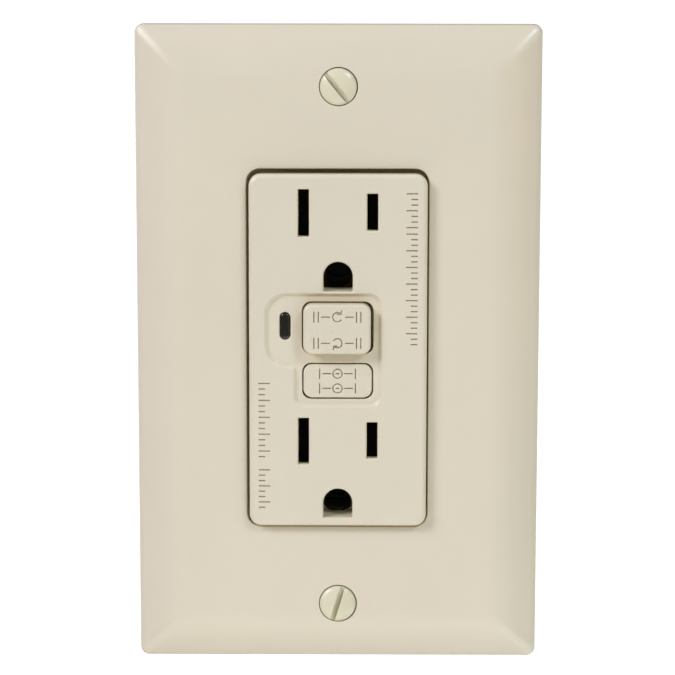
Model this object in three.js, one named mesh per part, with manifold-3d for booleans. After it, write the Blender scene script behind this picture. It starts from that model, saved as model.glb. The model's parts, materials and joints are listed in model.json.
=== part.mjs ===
// Duplex GFCI outlet with its wall plate, as it hangs in a wall box.
// Millimetres. +X is right and +Z is up as the outlet is read; the face looks along -Y.
// The origin is the centre of the plate on the wall's surface (y = 0), and +Y goes into the wall box.
// In every range below, "front" is the lower y and "back" the higher one.
import * as THREE from "three";
import { mergeVertices } from "three/addons/utils/BufferGeometryUtils.js";
import { ConvexGeometry } from "three/addons/geometries/ConvexGeometry.js";
import Module from "manifold-3d";

const wasm = await Module();
wasm.setup();

// ---------------------------------------------------------------- driving dimensions
const GAP = 0.3; // clearance between pieces that meet
const PAST = 1; // how far a cutter runs past the material it cuts
const JOIN = 0.2; // how far two lumps of one piece run into each other
const ROUND = 16; // sides of an ordinary round piece
const SMALL_ROUND = 12; // sides of a small round piece or hole

const PLATE = {
  halfW: 37.305,
  halfH: 59.53,
  corner: 1.6,
  sharpest: 0.05, // corner radius once an inset has used the corner up
  wall: 2.2,
  side: 2.1, // height of the straight side wall
  front: -6,
  bevel: 9.5, // width of the soft bevel
  bevelSteps: 6,
  mouth: -0.4, // the hollow behind goes straight in as far as this
  hollowInset: 8.2,
};
const PLATE_HOLE = {
  z: 48.42,
  r: 1.95,
  foot: -4,
  sinkR: 3.75,
  sinkEdge: -5.6,
  bossR: 3.1,
  boss: [-4.4, -1.7],
};
const OPENING = { halfW: 16.8, halfH: 33.6, corner: 2.5 };

const FACE = { halfW: 16.35, halfH: 32.9, front: -7.8, thickness: 2, edge: 0.9, corner: 2.2 };
const INSIDE = FACE.front + FACE.thickness; // back of the face's wall
const BODY = { halfW: 21.7, halfH: 33.8, shoulder: -1.8, corner: 2 };
const COVER = {
  back: 10.3,
  hollow: { halfW: 14.6, halfH: 31.2 }, // behind the face
  tunnel: { halfW: 13.9, front: -1.5 }, // the strap's way out at both ends
  clips: { halfW: 19.9, halfH: 25.8, front: 1 }, // room beside the blade clips
};
const RECESS = {
  depth: 0.6,
  inner: -7.87,
  right: 7.8,
  low: -10.38,
  high: 10.42,
  corner: 2,
  lobeLow: -3.1,
  lobeTopR: 3.5,
  lobeLowR: 4.5,
  fillet: 0.9,
};
const RESET = {
  x: -0.1,
  z: 4.33,
  halfW: 6.25,
  halfH: 4.69,
  corner: 1.65,
  front: -9.6,
  back: -3.4,
  edge: 0.5,
};
const TEST = {
  x: -0.075,
  z: -5.61,
  halfW: 6.2,
  halfH: 3,
  corner: 1.65,
  front: -7.25,
  back: -3.2,
  edge: 0.25,
};
const BUTTON_GAP = 0.22;
const BUTTON_FLANGE = { grow: 0.8, thickness: 1 };
const STEM = { r: 2.1, back: -2.4, boreFront: -7.5 }; // behind the reset button, round the shaft
const FOOT = { r: 1.2, back: 3.05 }; // behind the test button, over the leaf
const LENS = {
  x: -9.73,
  z: 4.65,
  halfW: 0.96,
  halfH: 2.52,
  gap: 0.15,
  proud: 0.15,
  back: -2.2,
  edge: 0.12,
};
const LED = {
  tip: -1.6,
  r: 1.5,
  dome: 0.2,
  rim: [3, 3.8],
  rimR: 1.75,
  legZ: 1.15,
  legHalf: 0.25,
  legEnd: 22.2,
};

const BLADE_X = 6.33;
const BLADE_Z = [25.65, -16.85]; // blade slots of the upper and lower receptacle
const SLOT = { halfW: 1, neutralHalfH: 4.2, hotHalfH: 3.4 };
const GROUND = { drop: 11.85, r: 2.7, flat: 0.1 }; // down from the blade slots to the ground hole

const STRAP = { front: -1.2, back: 0, halfW: 13.5, halfL: 53.2 };
const WINDOW = { x: [-11.8, 9.6], z: [-10.6, 10.4] }; // in the strap, round the buttons
const CLIP_WINDOW = { x: [3.9, 9], below: 5.6, above: 4.8 }; // in the strap, round each blade clip
const GROUND_WINDOW_R = 3.3;
const BOX_SLOT = { z: 41.67, halfW: 3.4, halfH: 2, corner: 1.99 };
// bent back beside the body's lower end
const TAB = {
  x: [-12.6, -11.4],
  y: [-0.6, 10.4],
  z: [-43.2, -34.8],
};
const TAB_HOLE_R = 1.95;

const SLOTTED = { halfW: 0.45, reach: 4 }; // driver slots
const PLATE_SCREW = { tip: 9.5, r: 1.6, neck: -4.1, headR: 3.45, rim: -5.75, top: -6.9, slotFloor: -5.7 };
const BOX_SCREW = {
  tip: 23.6,
  r: 1.7,
  taper: 1,
  tipR: 1.1,
  neck: -1.5,
  headR: 3.3,
  rim: -2.2,
  top: -3.4,
  slotFloor: -2.4,
};
const WASHER = { halfW: 4.6, halfH: 4.2, front: 0.3, back: 1.2, holeR: 1.9 };
const GROUND_SCREW = {
  y: 5.6,
  z: -39,
  headR: 4,
  head: [-15.4, -13],
  crown: [-15.85, -15.35],
  crownR: [3, 3.3],
  r: 1.75,
  tip: -6,
  slotDepth: 0.6,
  slotHalf: 0.5,
};

const GROUND_CONTACT = { halfW: 5.4, halfH: 4, front: 0.3, back: 1.1, holeR: 3.2 };
const PRONG = { x: 2.4, thickness: 0.6, root: 1.2, front: 0.8, back: 10, z: [-2.6, 2] };

const FLOOR = { front: 10.6, back: 12.2 }; // the separator's plate
const END_WALL = { halfW: 13.3, z: 31.7 };
const END_NOTCH = { halfW: 5.8, back: 1.5, z: [-33, -31] }; // clears the lower ground contact's flange
const POST = { x: [9.2, 10.5], z: [16, -25.5], halfH: 2.4 }; // under the strap's rails
const LEAF_POST = { x: [14.7, 16.4], z: [-7.4, -3.8], front: 2 };
const LEAF = { x: [-1.9, 15.6], y: [3.35, 3.75], z: [-7, -4.2] };
const LEAF_SLOT = { x: [14, 15.9], y: [3, 4.2], z: [-7.5, -3.7] };
const WELL = { r: 3.3, boreR: 2.75, bottom: 13.6, back: 14.4 };
const GUIDE = { r: 2.2, front: 8.6 };
const POST_WAY = { z: [-0.3, 4.3], margin: 0.6 }; // through the separator, for the fixed contacts
const PLATE_WAY = { x: [17.5, 22], z: [-24.4, -13.6] }; // through the separator, for the load terminals
const LED_WAY = { halfW: 0.6, halfH: 1.8 };

const HOUSING = { front: 12.5, back: 29, wall: 1.8 };
const CHAMBER = { halfW: 8.9, halfH: 32.2 }; // the long room for the board
const CROSS_CHAMBER = { halfW: 19.9, halfH: 11.5 };
const END_CHAMBER = { halfW: 13.8, z: [26.6, 32.2] };
const POCKET = { z: 19, half: 6, inner: 10.3, outer: 23, back: 21.2 }; // wire terminal pockets
const WIRE_HOLE = { x: 16.2, r: 1.6, dz: 3.7 };
// the line terminals' strips cross the pocket walls
const STRIP_WAY = {
  x: [8, 11],
  back: 14.2,
  z: [16.9, 20.3],
};
// screws that hold the body together
const BOSS = {
  x: 18,
  z: 30,
  r: 1.6,
  front: 0.4,
  sinkR: 3.2,
  sinkFloor: 26.8,
};
const BODY_SCREW = {
  tip: 2,
  tipR: 0.9,
  taper: 1.2,
  r: 1.3,
  neck: 26.9,
  headR: 2.7,
  seat: 27.1,
  rim: 28,
  top: 28.6,
};
const CROSS = { reach: 1.6, halfW: 0.3, floor: 27.9 };

const TERMINAL = { x: 17.9, thickness: 1.2, y: 16.6, halfH: 5, back: 20.9, holeR: 2.05 };
const CLAMP = { x: 13.3, thickness: 1.4, halfW: 2.6, halfH: 4.9 };
const BINDING = {
  gap: 0.2,
  headR: 3.9,
  head: 2,
  crownR: 3.3,
  crown: 0.25,
  r: 1.85,
  tip: 10.9,
  slotDepth: 1.05,
  slotHalf: 0.5,
};
const BUS = { x: 11.2, width: 2.4, front: 8.2, thickness: 1.2, z: [-23, 28], tail: [-22.4, -15.6] };
const CLIP = { halfW: 1.6, gap: 1, front: 1.4, back: 9.4, below: 4, above: 4.4, web: 0.6, bridge: 1.6 };
const CONTACT = { r: 1.4, z: 2, halfH: 1.4, back: 14.2, face: 14.9 }; // fixed contacts on the load buses
const STRIP = { front: 12.7, thickness: 1, x: 1.3, z: [17.3, 19.9], end: 22.3 };

const BOARD = {
  front: 22.6,
  back: 24.2,
  halfW: 8.5,
  halfH: 31,
  arm: 19.4,
  armHalfH: 11,
  endHalfW: 13.4,
  endZ: 27.2,
  holeR: 1.6,
};
const LEAD_END = 22.3; // where soldered leads stop, just short of the board
const TOROID = { z: 18.5, innerR: 3.9, outerR: 8.2, edge: 0.7, sides: 20 };

const LATCH = {
  y: 17.2,
  thickness: 0.8,
  halfW: 2.7,
  z: 3.2,
  halfH: 6.4,
  corner: 0.6,
  keyR: 2.1,
  slot: 1.35,
  travel: 1.6,
};
const MOTOR_Y = LATCH.y + LATCH.thickness / 2; // the solenoid's axis runs in the latch's plane
const SOLENOID = {
  low: -24,
  high: -10.6,
  flange: 0.8,
  flangeR: 4.6,
  windingR: 4.2,
  coreR: 2.9,
  boreR: 2.2,
};
const YOKE = { x: [-4.4, 5.8], halfW: 4, sheet: 0.9, gap: 0.3 };
const PLUNGER = { low: -20.2, shoulder: -9.6, neck: -4.9, high: -3.6, r: 1.9, neckR: 1, edge: 0.3 };
const PLUNGER_SPRING = { r: 1.55, wire: 0.22, from: -8.9, to: -5.2, turns: 4 };
const SHAFT = { r: 1.1, gap: 0.15, front: -7, collarR: 1.7, collar: [15, 15.4], cone: 0.6, tip: 18.7 };
const RESET_SPRING = { r: 1.75, wire: 0.3, from: -1.7, to: 8, turns: 6 };
const CARRIAGE = { x: 6, y: [15.5, 19.6], z: [-1.5, 9.6], boreR: 2.15, slotHalf: 3, slot: [16.9, 18.3] };
const LIFTER = { x: 14, y: [17.2, 18.6], z: [-0.4, 2.4] }; // the bar that reaches under both contact arms
const ARM = {
  x: BUS.x + BUS.width / 2,
  halfW: 1.4,
  front: 16.3,
  thickness: 0.5,
  z: [-1, 9.5],
  button: 0.4,
};
const ARM_POST = { front: 17.1, thickness: 0.6, z: [6, 9.6] };

// ---------------------------------------------------------------- solids from three.js shapes
// A closed geometry becomes a solid, turned the right way out if its profile ran backwards.
function solid(geometry) {
  const plain = geometry.index ? geometry.toNonIndexed() : geometry.clone();
  plain.deleteAttribute("normal");
  plain.deleteAttribute("uv");
  const merged = mergeVertices(plain, 1e-4);
  const triVerts = new Uint32Array(merged.index.array);
  const make = () =>
    new wasm.Manifold(
      new wasm.Mesh({ numProp: 3, vertProperties: merged.attributes.position.array, triVerts }),
    );
  const made = make();
  if (made.volume() > 0) return made;
  for (let i = 0; i < triVerts.length; i += 3) {
    [triVerts[i + 1], triVerts[i + 2]] = [triVerts[i + 2], triVerts[i + 1]];
  }
  return make();
}

function geometryOf(made) {
  const mesh = made.getMesh();
  const positions = new Float32Array(mesh.numVert * 3);
  for (let i = 0; i < mesh.numVert; i++) {
    positions.set(mesh.vertProperties.subarray(i * mesh.numProp, i * mesh.numProp + 3), i * 3);
  }
  const geometry = new THREE.BufferGeometry();
  geometry.setAttribute("position", new THREE.BufferAttribute(positions, 3));
  geometry.setIndex(new THREE.BufferAttribute(new Uint32Array(mesh.triVerts), 1));
  geometry.computeVertexNormals();
  return geometry;
}

// The range from a - r to a + r.
function around(a, r) {
  return [a - r, a + r];
}

// A box from its lowest and highest corners.
function block([x0, x1], [y0, y1], [z0, z1]) {
  const box = new THREE.BoxGeometry(x1 - x0, y1 - y0, z1 - z0);
  return solid(box.translate((x0 + x1) / 2, (y0 + y1) / 2, (z0 + z1) / 2));
}

// The same box on both sides of the x = 0 plane.
function blockPair([x0, x1], ys, zs) {
  return block([x0, x1], ys, zs).add(block([-x1, -x0], ys, zs));
}

// A shape drawn in x and z, as a plate from y0 to y1. An edge radius rounds both rims.
function plateOf(shape, y0, y1, edge = 0, curveSegments = 3) {
  const geometry = new THREE.ExtrudeGeometry(shape, {
    depth: y1 - y0 - 2 * edge,
    curveSegments,
    bevelEnabled: edge > 0,
    bevelThickness: edge,
    bevelSize: edge,
    bevelOffset: -edge,
    bevelSegments: 2,
  });
  geometry.rotateX(Math.PI / 2);
  return solid(geometry.translate(0, y1 - edge, 0));
}

function polygon(points) {
  return new THREE.Shape(points.map(([x, z]) => new THREE.Vector2(x, z)));
}

function roundedRectangle(x, z, halfW, halfH, r) {
  const path = new THREE.Shape();
  path.moveTo(x - halfW + r, z - halfH);
  path.lineTo(x + halfW - r, z - halfH);
  path.absarc(x + halfW - r, z - halfH + r, r, -Math.PI / 2, 0, false);
  path.lineTo(x + halfW, z + halfH - r);
  path.absarc(x + halfW - r, z + halfH - r, r, 0, Math.PI / 2, false);
  path.lineTo(x - halfW + r, z + halfH);
  path.absarc(x - halfW + r, z + halfH - r, r, Math.PI / 2, Math.PI, false);
  path.lineTo(x - halfW, z - halfH + r);
  path.absarc(x - halfW + r, z - halfH + r, r, Math.PI, 1.5 * Math.PI, false);
  return path;
}

// A round bar between two values along an axis; the other two coordinates place its centre.
function bar(axis, r, from, to, [u, v], sides = ROUND) {
  const cylinder = new THREE.CylinderGeometry(r, r, to - from, sides);
  const middle = (from + to) / 2;
  if (axis === "x") return solid(cylinder.rotateZ(Math.PI / 2).translate(middle, u, v));
  if (axis === "y") return solid(cylinder.translate(u, middle, v));
  return solid(cylinder.rotateX(Math.PI / 2).translate(u, v, middle));
}

// A turned piece round the Y axis. The profile is [radius, y] pairs that start and end on the axis,
// or close on themselves.
function turned(profile, sides = ROUND) {
  return solid(new THREE.LatheGeometry(profile.map(([r, y]) => new THREE.Vector2(r, y)), sides));
}

// The profile of a domed end, from its rim in to the axis.
function dome(r, rim, top, steps = 3) {
  const profile = [];
  for (let i = 0; i < steps; i++) {
    const a = ((1 - i / steps) * Math.PI) / 2;
    profile.push([r * Math.sin(a), rim + (top - rim) * Math.cos(a)]);
  }
  return [...profile, [0, top]];
}

const FINISH = {
  almond: [0xdcd5c0, 0.42, 0],
  buttonAlmond: [0xdbd4be, 0.38, 0],
  paintedScrew: [0xd8d3b8, 0.25, 0.1],
  darkPlastic: [0x2b2b2d, 0.55, 0],
  greyPlastic: [0x8d8f90, 0.55, 0],
  whiteNylon: [0xe6e4dc, 0.5, 0],
  steel: [0xb9bcc0, 0.35, 1],
  brass: [0xc9a14a, 0.3, 1],
  copper: [0xb8692f, 0.45, 1],
  green: [0x2f7d3f, 0.3, 0.6],
  board: [0x2d6a3c, 0.5, 0],
  blueLacquer: [0x2a5fa5, 0.35, 0],
  blackEpoxy: [0x1b1b1c, 0.5, 0],
  blackLens: [0x0d0d0c, 0.08, 0],
  redLens: [0xb83a30, 0.2, 0],
  fibre: [0x9c3c30, 0.8, 0],
};

const outlet = new THREE.Group();

// Adds one named piece, with its own material, at its place and turn.
function addPiece(name, made, finish, place = [0, 0, 0], turn = [0, 0, 0]) {
  const [color, roughness, metalness] = FINISH[finish];
  const material = new THREE.MeshStandardMaterial({ color, roughness, metalness });
  const mesh = new THREE.Mesh(geometryOf(made), material);
  mesh.name = name;
  mesh.position.set(...place);
  mesh.rotation.set(...turn);
  outlet.add(mesh);
}

// ---------------------------------------------------------------- wall plate
// One ring of the plate's outline, inset from the edge, at a depth y.
function plateRing(inset, y) {
  const r = Math.max(PLATE.corner - inset, PLATE.sharpest);
  const shape = roundedRectangle(0, 0, PLATE.halfW - inset, PLATE.halfH - inset, r);
  return shape.getPoints(1).map((p) => new THREE.Vector3(p.x, y, p.y));
}

// A straight side wall, then a soft bevel that rises to the flat front with mitred corners.
function plateOuter() {
  const rings = [plateRing(0, 0), plateRing(0, -PLATE.side)];
  const rise = -PLATE.front - PLATE.side;
  for (let i = 1; i <= PLATE.bevelSteps; i++) {
    const t = i / PLATE.bevelSteps;
    rings.push(plateRing(PLATE.bevel * t, -PLATE.side - rise * Math.sin((t * Math.PI) / 2)));
  }
  return solid(new ConvexGeometry(rings.flat()));
}

function plateHollow() {
  const rims = [
    plateRing(PLATE.wall, PAST),
    plateRing(PLATE.wall, PLATE.mouth),
    plateRing(PLATE.hollowInset, PLATE.front + PLATE.wall),
  ];
  return solid(new ConvexGeometry(rims.flat()));
}

// A countersunk hole through a short boss, drawn on the axis.
function plateScrewHole() {
  const { r, foot, sinkR, sinkEdge } = PLATE_HOLE;
  const front = PLATE.front - PAST;
  return turned([[0, front], [sinkR, front], [sinkR, sinkEdge], [r, foot], [r, 0], [0, 0]]);
}

function wallPlate() {
  const opening = roundedRectangle(0, 0, OPENING.halfW, OPENING.halfH, OPENING.corner);
  let plate = plateOuter().subtract(plateHollow());
  plate = plate.subtract(plateOf(opening, PLATE.front - PAST, 0));
  for (const z of [PLATE_HOLE.z, -PLATE_HOLE.z]) {
    plate = plate.add(bar("y", PLATE_HOLE.bossR, ...PLATE_HOLE.boss, [0, z]));
    plate = plate.subtract(plateScrewHole().translate(0, 0, z));
  }
  return plate;
}
addPiece("wall_plate", wallPlate(), "almond");

// A driver slot right across a head that looks along -Y, from its floor outwards.
function driverSlot(floor, top) {
  const { halfW, reach } = SLOTTED;
  return block([-reach, reach], [top - PAST, floor], [-halfW, halfW]);
}

// Oval-head plate screw: domed head in the countersink.
function plateScrew() {
  const { tip, r, neck, headR, rim, top, slotFloor } = PLATE_SCREW;
  const profile = [[0, tip], [r, tip], [r, neck], ...dome(headR, rim, top)];
  return turned(profile).subtract(driverSlot(slotFloor, top));
}
addPiece("plate_screw_upper", plateScrew(), "paintedScrew", [0, 0, PLATE_HOLE.z], [0, 0.94, 0]);
addPiece("plate_screw_lower", plateScrew(), "paintedScrew", [0, 0, -PLATE_HOLE.z], [0, -1.31, 0]);

// ---------------------------------------------------------------- front cover
// Outline of the sunk area round the two buttons, with a lobe on the left for the indicator.
function recessShape() {
  const { inner, right, low, high, corner, lobeLow, lobeTopR, lobeLowR, fillet } = RECESS;
  const lobeX = inner - fillet; // where the fillet hands over to the lobe's lower arc
  const left = lobeX - lobeLowR;
  const shape = new THREE.Shape();
  shape.moveTo(inner + corner, low);
  shape.lineTo(right - corner, low);
  shape.absarc(right - corner, low + corner, corner, -Math.PI / 2, 0, false);
  shape.lineTo(right, high - corner);
  shape.absarc(right - corner, high - corner, corner, 0, Math.PI / 2, false);
  shape.lineTo(left + lobeTopR, high);
  shape.absarc(left + lobeTopR, high - lobeTopR, lobeTopR, Math.PI / 2, Math.PI, false);
  shape.lineTo(left, lobeLow + lobeLowR);
  shape.absarc(lobeX, lobeLow + lobeLowR, lobeLowR, Math.PI, 1.5 * Math.PI, false);
  shape.absarc(lobeX, lobeLow - fillet, fillet, Math.PI / 2, 0, true);
  shape.lineTo(inner, low + corner);
  shape.absarc(inner + corner, low + corner, corner, Math.PI, 1.5 * Math.PI, false);
  return shape;
}

function buttonOutline(button, grow = 0) {
  const { x, z, halfW, halfH, corner } = button;
  return roundedRectangle(x, z, halfW + grow, halfH + grow, corner + grow);
}

// A slot with round ends; its corners stop just short of meeting.
function lensOutline(grow = 0) {
  const halfW = LENS.halfW + grow;
  return roundedRectangle(LENS.x, LENS.z, halfW, LENS.halfH + grow, halfW - 0.01);
}

// The ground pin's hole: a half round on top of a square.
function groundHole(z) {
  const { r, flat } = GROUND;
  const shape = new THREE.Shape();
  shape.moveTo(-r, z - r + flat);
  shape.lineTo(r, z - r + flat);
  shape.lineTo(r, z);
  shape.absarc(0, z, r, 0, Math.PI, false);
  return shape;
}

// Everything that a plug's pins pass through in the face, for one receptacle.
function pinHoles(z) {
  const through = [FACE.front - PAST, INSIDE + PAST];
  const neutral = block(around(-BLADE_X, SLOT.halfW), through, around(z, SLOT.neutralHalfH));
  const hot = block(around(BLADE_X, SLOT.halfW), through, around(z, SLOT.hotHalfH));
  return neutral.add(hot).add(plateOf(groundHole(z - GROUND.drop), ...through, 0, 8));
}

// The four corners where the body screws run.
function bodyCorners() {
  return [-BOSS.x, BOSS.x].flatMap((x) => [-BOSS.z, BOSS.z].map((z) => [x, z]));
}

function frontCover() {
  const face = roundedRectangle(0, 0, FACE.halfW, FACE.halfH, FACE.corner);
  const shoulder = roundedRectangle(0, 0, BODY.halfW, BODY.halfH, BODY.corner);
  const { back, hollow, tunnel, clips } = COVER;
  const past = back + PAST;
  let cover = plateOf(face, FACE.front, BODY.shoulder + FACE.thickness, FACE.edge);
  cover = cover.add(plateOf(shoulder, BODY.shoulder, back));
  cover = cover.subtract(block(around(0, hollow.halfW), [INSIDE, past], around(0, hollow.halfH)));
  const wayOut = around(0, BODY.halfH + PAST);
  cover = cover.subtract(block(around(0, tunnel.halfW), [tunnel.front, past], wayOut));
  cover = cover.subtract(block(around(0, clips.halfW), [clips.front, past], around(0, clips.halfH)));
  cover = cover.subtract(plateOf(recessShape(), FACE.front - PAST, FACE.front + RECESS.depth));
  for (const button of [RESET, TEST]) {
    cover = cover.subtract(plateOf(buttonOutline(button, BUTTON_GAP), FACE.front - PAST, INSIDE + PAST));
  }
  cover = cover.subtract(plateOf(lensOutline(LENS.gap), FACE.front - PAST, INSIDE + PAST));
  for (const z of BLADE_Z) cover = cover.subtract(pinHoles(z));
  for (const place of bodyCorners()) {
    cover = cover.subtract(bar("y", BOSS.r, BOSS.front, past, place, SMALL_ROUND));
  }
  return cover;
}
addPiece("front_cover", frontCover(), "almond");

// ---------------------------------------------------------------- buttons and indicator
// A button's cap with the rim that keeps it behind the face.
function buttonCap(button) {
  const { grow, thickness } = BUTTON_FLANGE;
  const rim = plateOf(buttonOutline(button, grow), INSIDE + GAP, INSIDE + GAP + thickness);
  return plateOf(buttonOutline(button), button.front, button.back, button.edge).add(rim);
}

// The reset button: a tall cap that stands proud of the recess, with a stem for the shaft.
function resetButton() {
  const axis = [RESET.x, RESET.z];
  const stem = bar("y", STEM.r, RESET.back - PAST, STEM.back, axis);
  const bore = bar("y", SHAFT.r + SHAFT.gap, STEM.boreFront, STEM.back + PAST, axis);
  return buttonCap(RESET).add(stem).subtract(bore);
}
addPiece("reset_button", resetButton(), "buttonAlmond");

// The test button: a low cap, nearly level with the recess floor, with a foot over the test leaf.
function testButton() {
  return buttonCap(TEST).add(bar("y", FOOT.r, TEST.back - JOIN, FOOT.back, [TEST.x, TEST.z]));
}
addPiece("test_button", testButton(), "buttonAlmond");

function indicatorLens() {
  const front = FACE.front + RECESS.depth - LENS.proud;
  return plateOf(lensOutline(), front, LENS.back, LENS.edge, 4);
}
addPiece("indicator_lens", indicatorLens(), "blackLens");

// The lamp behind the lens, with two legs that run back to the board.
function indicatorLed() {
  const { tip, r, dome: bulb, rim, rimR, legZ, legHalf, legEnd } = LED;
  const lamp = turned([[0, rim[1]], [rimR, rim[1]], [rimR, rim[0]], [r, rim[0]], ...dome(r, bulb, tip)]);
  const leg = (z) => block(around(0, legHalf), [rim[1] - JOIN, legEnd], around(z, legHalf));
  return lamp.add(leg(-legZ)).add(leg(legZ));
}
addPiece("indicator_led", indicatorLed(), "redLens", [LENS.x, 0, LENS.z]);

// ---------------------------------------------------------------- strap and its screws
// A band with a pair of plaster ears at each end; one quarter is mirrored to make the rest.
function strapShape() {
  const quarter = [
    [STRAP.halfW, 43.4],
    [16.2, 44.6],
    [17.6, 46.4],
    [17.6, 49.2],
    [15.6, 51.2],
    [12.6, 51.2],
    [11.6, STRAP.halfL],
  ];
  const right = [...quarter.map(([x, z]) => [x, -z]).reverse(), ...quarter];
  return polygon([...right, ...right.map(([x, z]) => [-x, z]).reverse()]);
}

function mountingStrap() {
  const through = [STRAP.front - PAST, STRAP.back + PAST];
  let strap = plateOf(strapShape(), STRAP.front, STRAP.back);
  strap = strap.subtract(block(WINDOW.x, through, WINDOW.z));
  for (const z of BLADE_Z) {
    const clipWindow = [z - CLIP_WINDOW.below, z + CLIP_WINDOW.above];
    strap = strap.subtract(blockPair(CLIP_WINDOW.x, through, clipWindow));
    strap = strap.subtract(bar("y", GROUND_WINDOW_R, ...through, [0, z - GROUND.drop]));
  }
  // the upper ground window opens into the main one
  const neck = [WINDOW.z[1] - PAST, BLADE_Z[0] - GROUND.drop];
  strap = strap.subtract(block([-GROUND_WINDOW_R, GROUND_WINDOW_R], through, neck));
  for (const side of [-1, 1]) {
    const { z, halfW, halfH, corner } = BOX_SLOT;
    strap = strap.subtract(plateOf(roundedRectangle(0, side * z, halfW, halfH, corner), ...through));
    strap = strap.subtract(bar("y", PLATE_SCREW.r + JOIN, ...through, [0, side * PLATE_HOLE.z]));
  }
  const tabHole = bar("x", TAB_HOLE_R, TAB.x[0] - PAST, TAB.x[1] + PAST, [GROUND_SCREW.y, GROUND_SCREW.z]);
  return strap.add(block(TAB.x, TAB.y, TAB.z)).subtract(tabHole);
}
addPiece("mounting_strap", mountingStrap(), "steel");

// Long box screw with an oval slotted head, held to the strap by a square fibre washer.
function mountingScrew() {
  const { tip, tipR, r, taper, neck, headR, rim, top, slotFloor } = BOX_SCREW;
  const shank = [[0, tip], [tipR, tip], [r, tip - taper], [r, neck]];
  const profile = [...shank, [headR, neck], ...dome(headR, rim, top)];
  return turned(profile).subtract(driverSlot(slotFloor, top));
}

function retainerWasher() {
  const { halfW, halfH, front, back, holeR } = WASHER;
  const sheet = block(around(0, halfW), [front, back], around(0, halfH));
  return sheet.subtract(bar("y", holeR, front - PAST, back + PAST, [0, 0]));
}
for (const [end, side] of [["upper", 1], ["lower", -1]]) {
  const place = [0, 0, side * BOX_SLOT.z];
  addPiece(`mounting_screw_${end}`, mountingScrew(), "steel", place, [0, 0.4 * side, 0]);
  addPiece(`retainer_washer_${end}`, retainerWasher(), "fibre", place);
}

// Green hex-head ground screw, driven sideways into the strap's tab.
function groundScrew() {
  const { y, z, headR, head, crown, crownR, r, tip, slotDepth, slotHalf } = GROUND_SCREW;
  const hexagon = bar("x", headR, ...head, [y, z], 6);
  const cap = new THREE.CylinderGeometry(...crownR, crown[1] - crown[0], ROUND);
  const domed = solid(cap.rotateZ(Math.PI / 2).translate((crown[0] + crown[1]) / 2, y, z));
  const shank = bar("x", r, head[1] - JOIN, tip, [y, z]);
  const slot = block([crown[0] - PAST, head[0] + slotDepth], around(y, slotHalf), around(z, headR + PAST));
  return hexagon.add(domed).add(shank).subtract(slot);
}
addPiece("ground_screw", groundScrew(), "green");

// A flange behind the strap with two prongs that grip the ground pin.
function groundContact() {
  const { halfW, halfH, front, back, holeR } = GROUND_CONTACT;
  const flange = block(around(0, halfW), [front, back], around(0, halfH));
  const prongs = blockPair([PRONG.x, PRONG.x + PRONG.thickness], [PRONG.front, PRONG.back], PRONG.z);
  const roots = blockPair([PRONG.x, PRONG.x + PRONG.root], [front, back], PRONG.z);
  return flange.subtract(bar("y", holeR, front - PAST, back + PAST, [0, 0])).add(prongs).add(roots);
}
for (const [i, end] of ["upper", "lower"].entries()) {
  addPiece(`ground_contact_${end}`, groundContact(), "brass", [0, 0, BLADE_Z[i] - GROUND.drop]);
}

// ---------------------------------------------------------------- separator
// Walls and posts that stand forward from the separator's plate.
function separatorPosts() {
  const back = FLOOR.front + JOIN;
  const endWall = block(around(0, END_WALL.halfW), [GAP, back], [END_WALL.z, BODY.halfH]);
  let posts = endWall.add(endWall.mirror([0, 0, 1]));
  posts = posts.subtract(block(around(0, END_NOTCH.halfW), [0, END_NOTCH.back], END_NOTCH.z));
  for (const z of POST.z) posts = posts.add(blockPair(POST.x, [GAP, back], around(z, POST.halfH)));
  const leafPost = block(LEAF_POST.x, [LEAF_POST.front, back], LEAF_POST.z);
  return posts.add(leafPost.subtract(block(LEAF_SLOT.x, LEAF_SLOT.y, LEAF_SLOT.z)));
}

// Ways through the plate for the contact posts, the load terminals, the lamp's legs and the body screws.
function separatorWays() {
  const through = [FLOOR.front - PAST, FLOOR.back + PAST];
  const { z, margin } = POST_WAY;
  let ways = blockPair([BUS.x - margin, BUS.x + BUS.width + margin], through, z);
  ways = ways.add(blockPair(PLATE_WAY.x, through, PLATE_WAY.z));
  ways = ways.add(block(around(LENS.x, LED_WAY.halfW), through, around(LENS.z, LED_WAY.halfH)));
  for (const place of bodyCorners()) ways = ways.add(bar("y", BOSS.r, ...through, place, SMALL_ROUND));
  return ways;
}

function separator() {
  const outline = roundedRectangle(0, 0, BODY.halfW, BODY.halfH, BODY.corner);
  const shaftAxis = [RESET.x, RESET.z];
  let tray = plateOf(outline, FLOOR.front, FLOOR.back).add(separatorPosts());
  for (const z of BLADE_Z) {
    const well = [0, z - GROUND.drop];
    tray = tray.add(bar("y", WELL.r, FLOOR.back - JOIN, WELL.back, well));
    tray = tray.subtract(bar("y", WELL.boreR, FLOOR.front - PAST, WELL.bottom, well));
  }
  tray = tray.add(bar("y", GUIDE.r, GUIDE.front, FLOOR.front + JOIN, shaftAxis));
  tray = tray.subtract(bar("y", SHAFT.r + SHAFT.gap, GUIDE.front - PAST, FLOOR.back + PAST, shaftAxis));
  return tray.subtract(separatorWays());
}
addPiece("separator", separator(), "greyPlastic");

// ---------------------------------------------------------------- back housing
// The rooms inside the housing, open to the front.
function housingRooms() {
  const deep = [HOUSING.front - PAST, HOUSING.back - HOUSING.wall];
  const endRoom = block(around(0, END_CHAMBER.halfW), deep, END_CHAMBER.z);
  const long = block(around(0, CHAMBER.halfW), deep, around(0, CHAMBER.halfH));
  const across = block(around(0, CROSS_CHAMBER.halfW), deep, around(0, CROSS_CHAMBER.halfH));
  return long.add(across).add(endRoom).add(endRoom.mirror([0, 0, 1]));
}

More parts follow.
